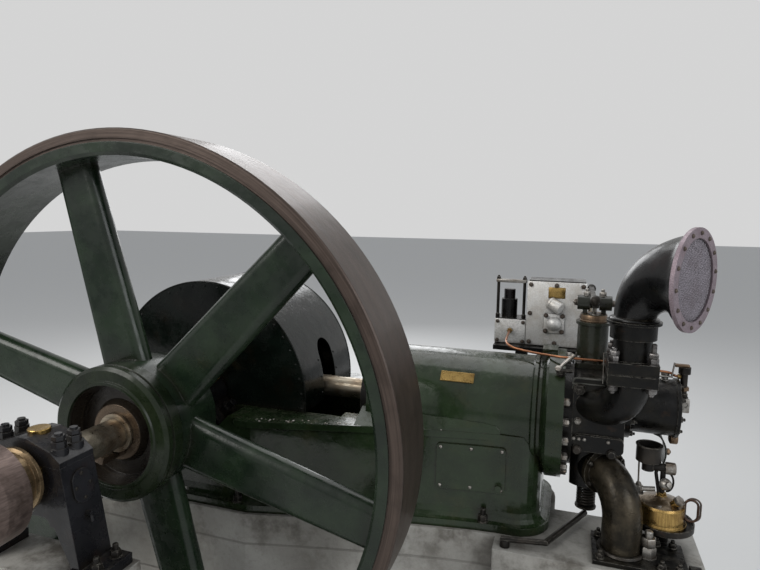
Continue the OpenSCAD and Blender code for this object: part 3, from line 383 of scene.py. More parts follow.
golden = steel("golden_steel", (0.33, 0.24, 0.14), (0.1, 0.065, 0.035), (1, 0.1, 1))
brass = steel("aged_brass", (0.46, 0.31, 0.11), (0.13, 0.075, 0.026), rough=0.22, metallic=1.0)
bronze = steel("dull_bronze", (0.2, 0.135, 0.085), (0.09, 0.06, 0.04), rough=0.36, metallic=0.8)
copper = steel("aged_copper", (0.42, 0.19, 0.1), (0.16, 0.07, 0.038), rough=0.3, metallic=1.0)
ring_metal = steel("ring_metal_dull", (0.31, 0.25, 0.28), (0.17, 0.125, 0.14),
                   rough=0.42, metallic=0.5, stained=0.5)
gauze_metal = steel("gauze_wire", (0.5, 0.46, 0.51), (0.28, 0.24, 0.26), rough=0.4, metallic=0.6)
aluminium = steel("bare_aluminium", (0.8, 0.79, 0.77), (0.42, 0.38, 0.32),
                  rough=0.36, metallic=0.4, stained=0.55)

SLOTS = {
    "concrete": concrete_look(), "green_paint": green, "guard_paint": guard_green, "black_paint": black,
    "head_iron": head, "dark_iron": dark, "bright_steel": bright, "rim_steel": rim, "brass": brass,
    "copper": copper, "ring_metal": ring_metal, "gauze": gauze_metal, "aluminium": aluminium,
}
SPECIAL = {
    "flywheel": wheel_look(), "hub_drum": hub_look(), "pulley_collar": golden, "exhaust_bend": bend_iron,
    "pedestal": pedestal_black, "pedestal_cap": pedestal_black, "pedestal_covers": pedestal_black,
    "valve_housing": housing_green, "lamp_tank": lamp_look(),
}
for part in frame["record"]["subparts"]:
    material = SPECIAL.get(part["node"], SLOTS[part["material_slot"]])
    nodes[part["node"]].data.materials.clear()
    nodes[part["node"]].data.materials.append(material)


def frame_along(axis):
    """A 3x3 matrix whose Z column runs along axis."""
    w = Vector(axis).normalized()
    hint = Z if abs(w.z) < 0.9 else X
    u = hint.cross(w).normalized()
    return Matrix((u, w.cross(u), w)).transposed()


def on_circle(m, centre, radius, angle, height=0.0):
    """A point on a circle round the Z column of m."""
    return centre + m @ Vector((radius * math.cos(angle), radius * math.sin(angle), height))


def around(centre, axis, radius, count, start=0.0):
    """Points on a circle round an axis, with their angles."""
    m = frame_along(axis)
    for i in range(count):
        a = math.radians(start) + 2 * math.pi * i / count
        yield on_circle(m, Vector(centre), radius, a), a


def smooth_path(points, steps=10):
    """A Catmull-Rom curve through the points."""
    p = [Vector(q) for q in points]
    p = [2 * p[0] - p[1]] + p + [2 * p[-1] - p[-2]]
    path = []
    for i in range(1, len(p) - 2):
        a, b, c, d = p[i - 1], p[i], p[i + 1], p[i + 2]
        for k in range(steps):
            t = k / steps
            path.append(0.5 * (2 * b + (c - a) * t + (2 * a - 5 * b + 4 * c - d) * t ** 2
                               + (3 * b - a - 3 * c + d) * t ** 3))
    path.append(p[-2])
    return path


class Shape:
    """Collects simple solids in one mesh, with places in metres and sizes in millimetres."""

    def __init__(self):
        self.bm = bmesh.new()

    def rings(self, rings, loop=False):
        """Joins rings of points, each with the same count, into a skin with closed ends or into a loop."""
        rows = [[self.bm.verts.new(p) for p in ring] for ring in rings]
        count = len(rows[0])
        pairs = list(zip(rows, rows[1:])) + ([(rows[-1], rows[0])] if loop else [])
        for a, b in pairs:
            for i in range(count):
                j = (i + 1) % count
                self.bm.faces.new((a[i], a[j], b[j], b[i]))
        if not loop:
            self.bm.faces.new(rows[0][::-1])
            self.bm.faces.new(rows[-1])

    def lathe(self, base, axis, profile, sides=32, turn=0.0, loop=False):
        """Turns a profile of (radius, distance along the axis) round the axis."""
        m = frame_along(axis)
        angles = [turn + 2 * math.pi * i / sides for i in range(sides)]
        rows = [[on_circle(m, Vector(base), r / 1000, a, h / 1000) for a in angles] for r, h in profile]
        self.rings(rows, loop)

    def tube(self, path, radius, sides=12, closed=False, up=Z):
        """A round bar along a path; radius is a number or a function of the fraction along it."""
        points = [Vector(p) for p in path]
        last = len(points) - 1
        turn = [2 * math.pi * k / sides for k in range(sides)]
        side = None
        rings = []
        for i, p in enumerate(points):
            before = points[i - 1] if i or closed else p
            after = points[(i + 1) % len(points)] if i < last or closed else p
            way = (after - before).normalized()
            if side is None:
                side = way.cross(up if abs(way.dot(up)) < 0.95 else X).normalized()
            side = (side - way * side.dot(way)).normalized()
            other = way.cross(side)
            r = (radius(i / last) if callable(radius) else radius) / 1000
            rings.append([p + r * (math.cos(a) * side + math.sin(a) * other) for a in turn])
        self.rings(rings, closed)

    def box(self, low, high, chamfer):
        low, high = Vector(low), Vector(high)
        made = bmesh.ops.create_cube(self.bm, size=1.0)
        size = high - low
        middle = (low + high) / 2
        for v in made["verts"]:
            v.co = middle + Vector((v.co.x * size.x, v.co.y * size.y, v.co.z * size.z))
        edges = list({e for v in made["verts"] for e in v.link_edges})
        bmesh.ops.bevel(self.bm, geom=edges, offset=chamfer / 1000, segments=2, affect="EDGES", profile=0.5)

    def nut(self, base, axis, r, h, stud=0.0, turn=0.0, washer=True):
        """A chamfered hexagonal nut on its washer, with the rounded end of its stud."""
        lift = 0.0
        if washer:
            lift = r * 0.16
            self.lathe(base, axis, [(r * 1.12, -1), (r * 1.12, lift)], sides=20)
        flats = [(r * 0.94, lift - 0.5), (r, lift + h * 0.1), (r, lift + h * 0.86), (r * 0.88, lift + h)]
        self.lathe(base, axis, flats, sides=6, turn=turn)
        if stud:
            top = lift + h + stud
            self.lathe(base, axis, [(r * 0.52, lift), (r * 0.52, top - r * 0.15), (r * 0.36, top)], sides=14)

    def screw(self, base, axis, r, h):
        """A round-headed screw."""
        arc = [(r * math.cos(a), h * math.sin(a)) for a in (0, 0.5, 0.95, 1.35)]
        self.lathe(base, axis, [(r, -1)] + arc, sides=14)


def flange_nuts(shape):
    """Studs and nuts that hold the head to the jacket's flange, where the head block leaves room."""
    count, circle = 20, 214
    for i in range(count):
        a = math.radians(9 + 360 / count * i)
        y, z = -circle * math.cos(a), circle * math.sin(a)
        if abs(y) > head_half or not -75 < z < 200:
            shape.nut(by_flange(0, y, z), X, 14.5, 17, stud=3, turn=a)


def head_nuts(shape):
    """Large nuts, plugs and a stepped boss on the near and far faces of the head block."""
    plug = [(16, -2), (16, 6), (11, 12), (3, 13)]
    boss = [(34, -2), (34, 10), (30, 13), (20, 14), (19, 28), (12, 30)]
    for s in SIDES:
        shape.nut(by_flange(50, s * head_half, 148), s * Y, 18.5, 17, stud=14)
        shape.nut(by_flange(178, s * head_half, 151), s * Y, 17, 16, stud=14)
        for x, z in ((50, -66), (162, -67)):
            shape.lathe(by_flange(x, s * head_band, z), s * Y, plug, sides=28)
        shape.lathe(by_flange(120, s * head_half, 85), s * Y, boss)


def head_rims(shape):
    """Raised beads along the upper corner of both faces of the head block."""
    for s in SIDES:
        for z in (167, 185):
            line = [(26, z - 20), (30, z - 6), (44, z), (130, z)]
            bead = smooth_path([by_flange(x, s * (head_half + 0.5), height) for x, height in line], 6)
            shape.tube(bead, 3.2, sides=10, up=Y)


def head_fasteners(shape):
    """Small nuts on both faces of the head block, and a thin guide rod up to the intake."""
    for s in SIDES:
        for x in (38, 55, 73, 150):
            shape.nut(by_flange(x, s * head_band, -25), s * Y, 6.2, 7, stud=3, washer=False)
        shape.nut(by_flange(48, s * head_half, 34), s * Y, 11, 11, stud=6)
        rod_y = s * (head_half + 9)
        shape.tube([by_flange(122, rod_y, 176), by_flange(120, rod_y, 283)], 2.4, sides=10)


def intake_bolts(shape):
    """Corner studs of the square intake flanges, each with two nuts above and one below."""
    top, foot, reach = SHAFT + 0.282, SHAFT + 0.207, 0.057
    for sx, sy in QUARTERS:
        corner = stack + Vector((sx * reach, sy * reach, 0))
        upper = corner + Z * (top + 0.022)
        turn = 0.4 * sx + 0.9 * sy
        shape.nut(corner + Z * top, Z, 16.5, 18, turn=turn)
        shape.nut(upper, Z, 15.5, 15, stud=20 + 10 * sx, turn=turn + 0.5, washer=False)
        shape.nut(corner + Z * foot, -Z, 16.5, 16, stud=10, turn=turn)


HORN_DIR = math.radians(-31)
HORN_RISE, HORN_NECK, HORN_MOUTH, MOUTH_RUN, BEND_END = 0.145, 0.062, 0.147, 0.02, 0.893
HORN_WALL = 0.007
HORN_BASE = stack + Vector((0, 0, SHAFT + 0.41))
MOUTH_X = HORN_RISE + MOUTH_RUN
MOUTH_AXIS = Vector((math.cos(HORN_DIR), math.sin(HORN_DIR), 0))


def horn_place(x, y, z):
    """A point of the horn's own frame, whose X runs towards the mouth."""
    c, s = math.cos(HORN_DIR), math.sin(HORN_DIR)
    return HORN_BASE + Vector((c * x - s * y, s * x + c * y, z))


def horn_ring(t, inset, sides=64):
    """The horn's outline a fraction t of the way to its mouth, drawn in by an inset."""
    a = math.pi / 2 * min(1.0, t / BEND_END)
    run = MOUTH_RUN * max(0.0, t - BEND_END) / (1 - BEND_END)
    cx, cz = HORN_RISE * (1 - math.cos(a)) + run, HORN_RISE * math.sin(a)
    r = HORN_NECK + (HORN_MOUTH - HORN_NECK) * t ** 1.5 - inset
    ring = []
    for i in range(sides):
        q = 2 * math.pi * i / sides
        out = r * math.cos(q)
        ring.append(horn_place(cx + out * math.cos(a), r * math.sin(q), cz - out * math.sin(a)))
    return ring


def horn_shell(shape):
    """The flared horn as one smooth shell, with a rolled seam where it meets its collar."""
    steps = 40
    outer = [horn_ring(i / steps, 0.0) for i in range(steps + 1)]
    inner = [horn_ring(i / steps, HORN_WALL) for i in range(steps, -1, -1)]
    shape.rings(outer + inner, loop=True)
    seam = [(62.5, 0), (74, 0), (76, 4), (74, 9), (66, 12), (62.5, 12)]
    shape.lathe(HORN_BASE - Z * 0.0005, Z, seam, sides=48, loop=True)


def mouth_screws(shape):
    """Brown screws round the ring of the horn's mouth."""
    face = horn_place(MOUTH_X + 0.012, 0, HORN_RISE)
    for p, _ in around(face, MOUTH_AXIS, 0.141, 14, 8):
        shape.screw(p, MOUTH_AXIS, 7, 6)


def gauze_wires(shape):
    """Woven wires across the mouth."""
    radius, pitch, wave = 0.126, 0.0052, 0.0009
    count = int(radius / pitch)
    for across in (0, 1):
        for i in range(-count, count + 1):
            v = i * pitch
            steps = int(math.sqrt(max(0.0, radius ** 2 - v ** 2)) / pitch)
            if steps < 2:
                continue
            path = []
            for j in range(-steps, steps + 1):
                lift = wave * (1 if (i + j + across) % 2 else -1)
                u = j * pitch
                side, height = (v, u) if across else (u, v)
                path.append(horn_place(MOUTH_X + 0.0045 + lift, side, HORN_RISE + height))
            shape.tube(path, 0.85, sides=4)


def gauze_back(shape):
    """A dark backing cloth behind the wires."""
    shape.lathe(horn_place(MOUTH_X - 0.004, 0, HORN_RISE), MOUTH_AXIS, [(128, 0), (128, 2)], sides=64)


# The inlet valve's middle line, in millimetres past the flange
VALVE_X = 88


def valve_nuts(shape):
    """Flange nuts of the inlet valve housing, and the rocker's small nuts and spindle."""
    for sx, sy in QUARTERS:
        shape.nut(by_flange(VALVE_X + sx * 45, sy * 50, 210), Z, 11.5, 12, stud=10, turn=sx)
    for s in SIDES:
        shape.nut(by_flange(VALVE_X + s * 27, 0, 450.5), Z, 12.5, 14, stud=10, turn=0.3)
        shape.nut(by_flange(VALVE_X + s * 59, 0, 425), s * X, 13, 9, stud=4)
    shape.tube([by_flange(VALVE_X, -52, 430), by_flange(VALVE_X, -30, 387)], 7.5, sides=14)
    seat = [(20, -1), (21, 1), (21, 5), (18, 6)]
    shape.lathe(by_flange(VALVE_X, -29, 385.5), Z, seat)


def valve_cap_nut(shape):
    """The round bronze cap nut on top of the valve housing."""
    cap = [(48.5, 0), (48.5, 4), (46.8, 6), (46.8, 24), (43.5, 28.5), (20, 28.8)]
    shape.lathe(by_flange(VALVE_X, 0, 358), Z, cap, sides=56)


def vaporiser_nuts(shape):
    """Rings of nuts on both flanges of the vaporiser."""
    height = SHAFT + 0.062
    inner_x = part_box("cylinder_head")[1].x + 0.026
    outer_x = vaporiser_end - 0.006
    for p, a in around((inner_x, 0, height), X, 0.1125, 10, 18):
        shape.nut(p, X, 9.5, 10, stud=8, turn=a)
    for p, a in around((outer_x, 0, height), X, 0.084, 8, 10):
        shape.nut(p, X, 10.5, 11, stud=8, turn=a)


def tap_foot(shape):
    """The light lug with a bore at the tap's foot."""
    shape.box(by_vaporiser_end(0.5, -34, 56), by_vaporiser_end(34, -18, 106), 4)
    bore = [(13.5, -1), (13.5, 3), (9.5, 3.5), (9.5, 1), (1, 1)]
    shape.lathe(by_vaporiser_end(17, -34, 86), -Y, bore, sides=28)


def vaporiser_plug(shape):
    """The plug and the nut low on the vaporiser's end."""
    plug = [(12, -4), (20, 0), (21.5, 2), (21.5, 21), (19, 25), (6, 26)]
    shape.lathe(by_vaporiser_end(-18, -12, -46), X, plug, sides=32)
    shape.nut(by_vaporiser_end(-30, -6, -102), X, 12, 14, stud=4)


def flame_shield(shape):
    """The bent sheet that keeps the lamp's flame on the vaporiser, with a beaded near edge."""
    half, thick = Y * 0.036, 0.002
    bends = ((-74, -30), (-50, -42), (-33, -75), (-30, -110), (-36, -140))
    line = smooth_path([by_vaporiser_end(x, 0, z) for x, z in bends], 8)
    rows = []
    for before, here, after in zip([line[0]] + line[:-1], line, line[1:] + [line[-1]]):
        side = (after - before).normalized().cross(Y) * thick
        rows.append([here + half + side, here + half - side, here - half - side, here - half + side])
    shape.rings(rows)
    shape.tube([here - half for here in line], 3, sides=10, up=Y)


def tap_handle(shape):
    """Handle and gland of the tap past the vaporiser."""
    x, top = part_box("vaporiser_tap")[1].x - 0.02, SHAFT + 0.2135
    shape.box((x - 0.033, -0.01, top - 0.001), (x + 0.015, 0.01, top + 0.0095), 3)
    gland = [(12, 0), (19, 2), (19, 14), (12, 16)]
    shape.lathe((x, 0, SHAFT + 0.128), Z, gland, sides=6)


def vent_valve(shape):
    """The small vent valve on the vaporiser's top, with its lever."""
    foot = by_flange(338, 0, 158)
    stem = [(16, -4), (16, 6), (11, 8), (11, 30), (8, 32)]
    shape.lathe(foot, Z, stem, sides=24)
    gland = [(14, 0), (15.5, 2), (15.5, 12), (14, 14)]
    shape.lathe(foot + Z * 0.02, Z, gland, sides=6)
    shape.tube([by_flange(318, -12, 176), by_flange(362, -12, 178)], 3.5, sides=10)
    shape.tube([by_flange(358, -12, 174), by_flange(364, -16, 230)], 3, sides=10)


FUEL_START = Vector((pump_x - 0.072, pump_y - 0.0023, SHAFT + 0.25))


def fuel_line(shape):
    """The copper fuel pipe from the pump to the tap, on the route of its frame node."""
    route = [(-230, 60, 244), (-205, 0, 236), (-160, -20, 230), (-90, -60, 231), (-20, -104, 236),
             (50, -100, 234), (140, -84, 228), (240, -70, 212), (340, -24, 196), (366, 0, 181), (387, 0, 176)]
    path = [FUEL_START, FUEL_START - Y * 0.028] + [by_flange(*p) for p in route]
    shape.tube(smooth_path(path), 4.5, sides=14)


def pipe_unions(shape):
    """The brass unions at both ends of the fuel pipe."""
    shape.nut(FUEL_START - Y * 0.001, -Y, 11.5, 18, washer=False)
    sleeve = [(6, 0), (9.5, 1), (9.5, 10), (6, 11)]
    shape.lathe(by_flange(378, 0, 178), X, sleeve, sides=6)


LAMP_NECK = lamp + Vector((0.034, -0.03, tank_shoulder + 0.006))
LAMP_LEAN = Vector((0.55, -0.35, 0.75))


def lamp_beads(shape):
    """Soldered beads round the tank, its filler neck, and the nut in the middle of the dome."""
    for lift, r in ((0.0105, 83), (0.022, 79.5), (0.068, 77.2)):
        bead = [(r - 2, -1.5), (r, 0), (r, 1), (r - 2, 2.5)]
        shape.lathe(lamp + Z * (tank_low.z + lift), Z, bead, sides=64, loop=True)
    neck = [(13, -12), (13, 14), (15.5, 16), (15.5, 20), (12, 21)]
    shape.lathe(LAMP_NECK, LAMP_LEAN, neck, sides=24)
    nut = [(19, -4), (19, 4), (16, 6), (16, 14), (11, 16)]
    shape.lathe(lamp + Z * (tank_shoulder + 0.018), Z, nut, sides=6)


def lamp_steel_bits(shape):
    """Filler cap, burner arm with its valve wheel, tray nut and its rods, and a small vent screw."""
    cap = [(17, 0), (18.5, 2), (18.5, 13), (16, 16), (6, 17)]
    shape.lathe(LAMP_NECK + LAMP_LEAN.normalized() * 0.02, LAMP_LEAN, cap, sides=6)
    arm = [(12, 0), (20.4, 1), (20.9, 3), (20.9, 31), (18, 34), (4, 34.5)]
    shape.lathe(by_lamp(4, 0, -118), X, arm, sides=36)
    shape.nut(by_lamp(-75, -2, -219), Z, 16.5, 26, stud=10, turn=0.3)
    shape.tube([by_lamp(-70, -4, -203), by_lamp(-22, -2, -198)], 8.5, sides=16)
    shape.tube([by_lamp(-76, -2, -190), by_lamp(-78, 0, -108)], 3, sides=10)
    wheel = [(8, -14), (17, -10), (21, 0), (18, 10), (10, 16), (9, 24)]
    shape.lathe(by_lamp(6, -20, -168), (0.4, -0.85, 0.3), wheel + [(3, 25)], sides=28)
    vent = [(7, -4), (7, 6), (4, 8)]
    shape.lathe(lamp + Vector((-0.012, -0.058, tank_shoulder + 0.0015)), Z, vent, sides=6)


def burner_fittings(shape):
    """Rim, jet and holes of the burner's cup, and the bent pipes that feed it."""
    cup = by_lamp(-49, 0, -98)
    rim_ring = [(40.5, 0), (43.5, 0.8), (43.5, 4.8), (40.5, 5.6)]
    shape.lathe(cup + Z * 0.053, Z, rim_ring, sides=48, loop=True)
    shape.lathe(cup + Z * 0.009, Z, [(22, 0), (22, 18), (17, 24), (6, 26)], sides=28)
    for p, _ in around(cup + Z * 0.028, Z, 0.0225, 8):
        shape.lathe(p, Z, [(2.2, -8), (2.2, 0)], sides=8)
    steps, wide, tall = 40, 21, 34
    angles = [math.pi * (0.5 - i / steps) for i in range(steps + 1)]
    bow = [by_lamp(12 + wide * math.cos(a), -6, -165 + tall * math.sin(a)) for a in angles]
    shape.tube(bow, 3.5, sides=10)
    root = lamp + Vector((-0.008, -0.004, tank_shoulder + 0.02))
    shape.tube([root, by_lamp(-22, 0, -140), by_lamp(-20, 0, -120)], 6, sides=12)


def second_loop(shape):
    """The second bar of the tank's finger loop, beside the first."""
    steps, bend, straight = 48, 0.0235, 0.017
    middle = Vector((tank_high.x - 0.016, lamp.y - 0.016, tank_low.z + 0.068))
    path = []
    for i in range(steps):
        a = 2 * math.pi * i / steps
        half = straight if math.sin(a) > 0 else -straight
        path.append(middle + Vector((bend * math.cos(a), -0.001 * math.sin(a), bend * math.sin(a) + half)))
    shape.tube(path, 3.2, sides=10, closed=True, up=Y)


PLATE_TOP = block_top + 0.015


def plate_nuts(shape):
    """Two large nuts stacked on the exhaust's floor plate, in front of the bend."""
    place = Vector((flange_x + 0.29, -0.237, PLATE_TOP))
    shape.nut(place, Z, 26, 34, turn=0.3)
    shape.nut(place + Z * 0.039, Z, 25.5, 30, stud=22, turn=0.9, washer=False)


def exhaust_bolts(shape):
    """Flange bolts of the exhaust bend, bolts of the floor plate, and a band round the pipe's foot."""
    chest, foot = by_flange(95, -40, -157), by_flange(207, -223, -157)
    way = (foot - chest).normalized()
    for p, a in around(foot - way * 0.109, way, 0.073, 6, 30):
        shape.nut(p, way, 8.5, 9, stud=6, turn=a, washer=False)
    low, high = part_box("exhaust_plate")
    for x in (low.x + 0.024, foot.x + 0.12, high.x - 0.062):
        for y in (low.y + 0.022, high.y - 0.024):
            shape.nut((x, y, PLATE_TOP), Z, 13, 13, stud=12, turn=x * 9)
    foot_band = [(66, 0), (75, 0), (77, 3), (73, 9), (66, 10)]
    shape.lathe((foot.x, foot.y, PLATE_TOP), Z, foot_band, sides=48, loop=True)


def exhaust_coil(shape):
    """The exhaust valve's spring, as one smooth coil on its rod."""
    middle = plan_middle("exhaust_spring")
    z0, z1 = block_top + 0.058, block_top + 0.15
    coil, turns, per = 0.03, 7, 28
    bottom, top = z0 + 0.0125, z1 - 0.0048
    path = []
    for i in range(turns * per + 1):
        a = 2 * math.pi * i / per
        height = bottom + (top - bottom) * i / (turns * per)
        path.append(middle + Vector((coil * math.cos(a), coil * math.sin(a), height)))
    shape.tube(path, 4.5, sides=12)
    shape.lathe(middle + Z * z0, Z, [(34, 0), (38, 1.5), (38, 6.5), (35, 8)], sides=32)
    rod = [(7.5, 0), (9, 2), (9, 106)]
    shape.lathe(middle + Z * (z0 - 0.014), Z, rod, sides=20)
    shape.nut(middle + Z * z0, -Z, 14.5, 11, washer=False)


def cover_plates(shape):
    """The two bright cover plates, with the square flange and its dome, and the knob tilted over it."""
    shape.box(by_pump(-6, -8, 4), by_pump(231, 0, 276), 2.5)
    shape.box(by_pump(-138, -2, 3), by_pump(-7, 6, 107), 2)
    shape.box(by_pump(66, -17, 62), by_pump(148, -7, 144), 3)
    dome = [(29, -2), (29, 6), (26, 14), (19, 22), (10, 27), (2, 29)]
    shape.lathe(by_pump(107, -15, 103), -Y, dome, sides=40)
    axis = Vector((0.78, -0.42, -0.36)).normalized()
    knob = [(20, 0), (26.5, 2), (26.5, 10), (24.5, 12), (24.5, 50), (22, 55)]
    shape.lathe(by_pump(112, -26, 178) - axis * 0.03, axis, knob + [(4, 56)], sides=40)
    shape.lathe(by_pump(112, -4, 178), -Y, [(16, -3), (16, 18), (12, 20)], sides=24)


def governor_bar(shape):
    """The bright bar over the governor."""
    shape.box(by_pump(-140, 20, 262), by_pump(-12, 48, 276), 3)


def governor_posts(shape):
    """The two dark posts that carry the governor's bar, and their nuts."""
    for x in (-131, -21):
        post = [(9, 0), (9, 20), (6.5, 22), (6.5, 159)]
        shape.lathe(by_pump(x, 34, 104), Z, post, sides=18)
        shape.nut(by_pump(x, 34, 276), Z, 9, 9, stud=6)


def cover_screws(shape):
    """Brown screws round the covers, and four nuts of the square flange."""
    columns, rows = (8, 112, 217), (18, 140, 262)
    for x in columns:
        for z in rows:
            if (x, z) != (columns[1], rows[1]):
                place = by_pump(x, -8, z)
                shape.nut(place, -Y, 8.2, 6, stud=2, turn=place.x * 40)
    for x in (-126, -19):
        for z in (14, 96):
            place = by_pump(x, -2, z)
            shape.nut(place, -Y, 7, 5, stud=2, turn=place.x * 40)
    for sx, sz in QUARTERS:
        shape.nut(by_pump(107 + sx * 33, -17, 103 + sz * 33), -Y, 8.5, 9, stud=5)


def cover_plate_brass(shape):
    """A bare brass plate near the top of the wide cover, with a raised field."""
    shape.box(by_pump(80, -10.5, 209), by_pump(147, -7.5, 254), 0.8)
    shape.box(by_pump(83, -11.5, 212), by_pump(144, -10, 251), 0.5)


def cock_lever(shape):
    """The bright lever of the jacket's cock, swung up."""
    bar = [by_flange(-21, -163, 208), by_flange(-10, -160, 224), by_flange(26, -150, 258)]
    shape.tube(bar, lambda t: 5.5 + 2 * t, sides=12)
    boss = [(8, -6), (12, 0), (12, 12), (6, 14)]
    shape.lathe(by_flange(-24, -163, 203), (-0.1, -0.64, 0.76), boss, sides=6)


def plate_border(shape):
    """Raised border and four pins of the bare name plate on the jacket."""
    tilt = Matrix.Rotation(math.radians(48), 3, "X")
    x0, x1, half, top = flange_x - 0.445, flange_x - 0.32, 0.02, jacket_r + 0.003

    def lay(x, y):
        return tilt @ Vector((x, y, top)) + Z * SHAFT

    def corners(inset):
        near, far, side = x0 + inset, x1 - inset, half - inset
        return [lay(near, -side), lay(far, -side), lay(far, side), lay(near, side)]

    border = corners(0.0028)
    for a, b in zip(border, border[1:] + border[:1]):
        shape.tube([a, b], 1.2, sides=8, up=Vector((0, 0.66, -0.74)))
    for pin in corners(0.009):
        shape.screw(pin, tilt @ Z, 3, 2)


def bed_side(x):
    """Half width of the bed's side in plan, in metres, as the frame's bed has it."""
    x0, x1 = 0.29, flange_x - 0.064 - 0.146
    t = min(1.0, max(0.0, (x - x0) / (x1 - x0)))
    return jacket_r + (bed_half - jacket_r) * (1 - t) ** 1.3


def door_screws(shape):
    """Screws of the bed's door, square to the bed's curved side."""
    x0, x1 = flange_x - 0.435, flange_x - 0.188
    for x in (x0 + 0.014, (x0 + x1) / 2, x1 - 0.014):
        slope = (bed_side(x + 0.01) - bed_side(x - 0.01)) / 0.02
        for z in (-0.252, -0.105):
            shape.screw((x, -(bed_side(x) + 0.008), SHAFT + z), (slope, -1, 0), 7, 5)


def foundation_bolts(shape):
    """Holding-down bolts on the bed's foot."""
    for s in SIDES:
        for x in (-0.43, -0.1, 0.24, 0.56, 0.88, 1.16):
            place = (x, s * (bed_side(x) + 0.0155), block_top + 0.029)
            shape.nut(place, Z, 18.5, 20, stud=26, turn=x * 7)


def guard_rivets(shape):
    """Rivets along the guard's rims and beside the rod's slot, and the rolled wire at its edges."""
    half, radius, rivet_r, rivets, steps = 0.24, 0.455, 0.437, 24, 96
    wire_r = radius - 0.001
    for s in SIDES:
        for i in range(rivets + 1):
            a = math.radians(-4 + 188 * i / rivets)
            place = (rivet_r * math.cos(a), s * half, SHAFT + rivet_r * math.sin(a))
            shape.screw(place, s * Y, 5.5, 3.5)
        edge = []
        for i in range(steps + 1):
            a = math.radians(-5.5 + 191 * i / steps)
            edge.append((wire_r * math.cos(a), s * (half - 0.001), SHAFT + wire_r * math.sin(a)))
        shape.tube(edge, 3.5, sides=8, up=Y)
    for z in (-0.01, 0.06, 0.13):
        for s in SIDES:
            x = math.sqrt(radius ** 2 - z ** 2)
            shape.screw((x, s * 0.078, SHAFT + z), (x, 0, z), 5.5, 3.5)


def pedestal_bolts(shape):
    """Foot bolts of the outboard pedestal, and the screws of its oval covers."""
    low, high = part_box("pedestal")
    y_mid = (low.y + high.y) / 2
    for s in SIDES:
        for dy in (-0.035, 0.035):
            place = (s * (high.x - 0.03), y_mid + dy, low.z + 0.03)
            shape.nut(place, Z, 16.5, 18, stud=20, turn=dy * 30)
    half_top, half_foot, rise = 0.133, 0.182, 0.288
    lean = math.atan2(half_foot - half_top, rise)
    for s in SIDES:
        out = Vector((s * math.cos(lean), 0, math.sin(lean)))
        down = Vector((s * math.sin(lean), 0, -math.cos(lean)))
        cover = Vector((s * half_top, y_mid, high.z)) + out * 0.007
        for run, side in ((0.034, 0), (0.104, 0), (0.069, -0.024), (0.069, 0.024)):
            shape.screw(cover + down * run + Y * side, out, 5.5, 4)


def pedestal_lid(shape):
    """The brass lid on the pedestal's cap."""
    lid = [(30.8, 0), (30.8, 11.5), (29, 13.5), (12, 14.2), (4, 14.2)]
    shape.lathe(plan_middle("pedestal") + Z * (SHAFT + 0.108), Z, lid, sides=48)


def bearing_cups(shape):
    """Sight-feed cups on the sloping main bearing caps."""
    tilt = Matrix.Rotation(math.radians(45), 3, "Y")
    cup = [(12, -4), (12, 8), (22, 10), (24, 14), (24, 34), (20, 38)]
    for y in (-0.317, 0.317):
        base = tilt @ Vector((0, 0, 0.1)) + Vector((0, y, SHAFT))
        shape.lathe(base, tilt @ Z, cup + [(8, 40)], sides=28)


def grease_specks(shape):
    """Drops and lumps of grease on the bed's ledge near the guard and on the slope of the shoulder."""
    draw = random.Random(11)
    for _ in range(70):
        x = draw.uniform(0.3, 1.0)
        half = bed_side(x)
        y = -draw.uniform(half - 0.02, half + 0.012 * (1 - x))
        r = draw.uniform(1.8, 5.2)
        shape.screw((x, y, bed_high if x < 0.94 else bed_high + 0.002), Z, r, r * 0.6)


def side_bolts(shape):
    """Bolts of the gear case and of the side shaft's brackets, and the collar at the shaft's end."""
    for p, a in around((0, bed_half + 0.1, SHAFT), Y, 0.088, 8, 22):
        shape.nut(p, Y, 9.5, 10, stud=6, turn=a)
    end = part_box("side_brackets")[1].x
    side_y, side_z = 0.434, SHAFT - 0.09
    for x in (0.538, end - 0.018):
        for s in SIDES:
            shape.nut((x, side_y, side_z + s * 0.037), s * Z, 8, 8, stud=4)
    collar = [(22.5, 0), (34, 1), (34, 15), (22.5, 16)]
    shape.lathe((end + 0.01, side_y, side_z), X, collar, sides=32, loop=True)


def shaft_end(shape):
    """The turned end of the shaft with its centre hole."""
    centre = [(40, -2), (38, 2), (12, 2), (8, -4), (1, -8)]
    shape.lathe((0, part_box("crankshaft")[0].y, SHAFT), -Y, centre, sides=40)


def collar_screws(shape):
    """Set screws of the pulley's collar."""
    middle = Vector((0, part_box("pulley_collar")[1].y - 0.011, SHAFT))
    for p, _ in around(middle, Y, 0.0915, 2, 60):
        shape.nut(p, p - middle, 8.5, 8, washer=False)


def linked(name, data):
    """A new object of the scene, with its data."""
    made = bpy.data.objects.new(name, data)
    bpy.context.scene.collection.objects.link(made)
    return made


def add(make, material, body=ENGINE, sharp=38, stands_for=None):
    """Makes the piece that a function shapes and names, smooth up to the sharp angle in degrees."""
    shape = Shape()
    make(shape)
    bmesh.ops.recalc_face_normals(shape.bm, faces=shape.bm.faces)
    mesh = bpy.data.meshes.new(make.__name__)
    shape.bm.to_mesh(mesh)
    shape.bm.free()
    mesh.materials.append(material)
    for face in mesh.polygons:
        face.use_smooth = True
    mesh.set_sharp_from_angle(angle=math.radians(sharp))
    made = linked(make.__name__, mesh)
    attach(made, body)
    if stands_for:
        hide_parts(stands_for)


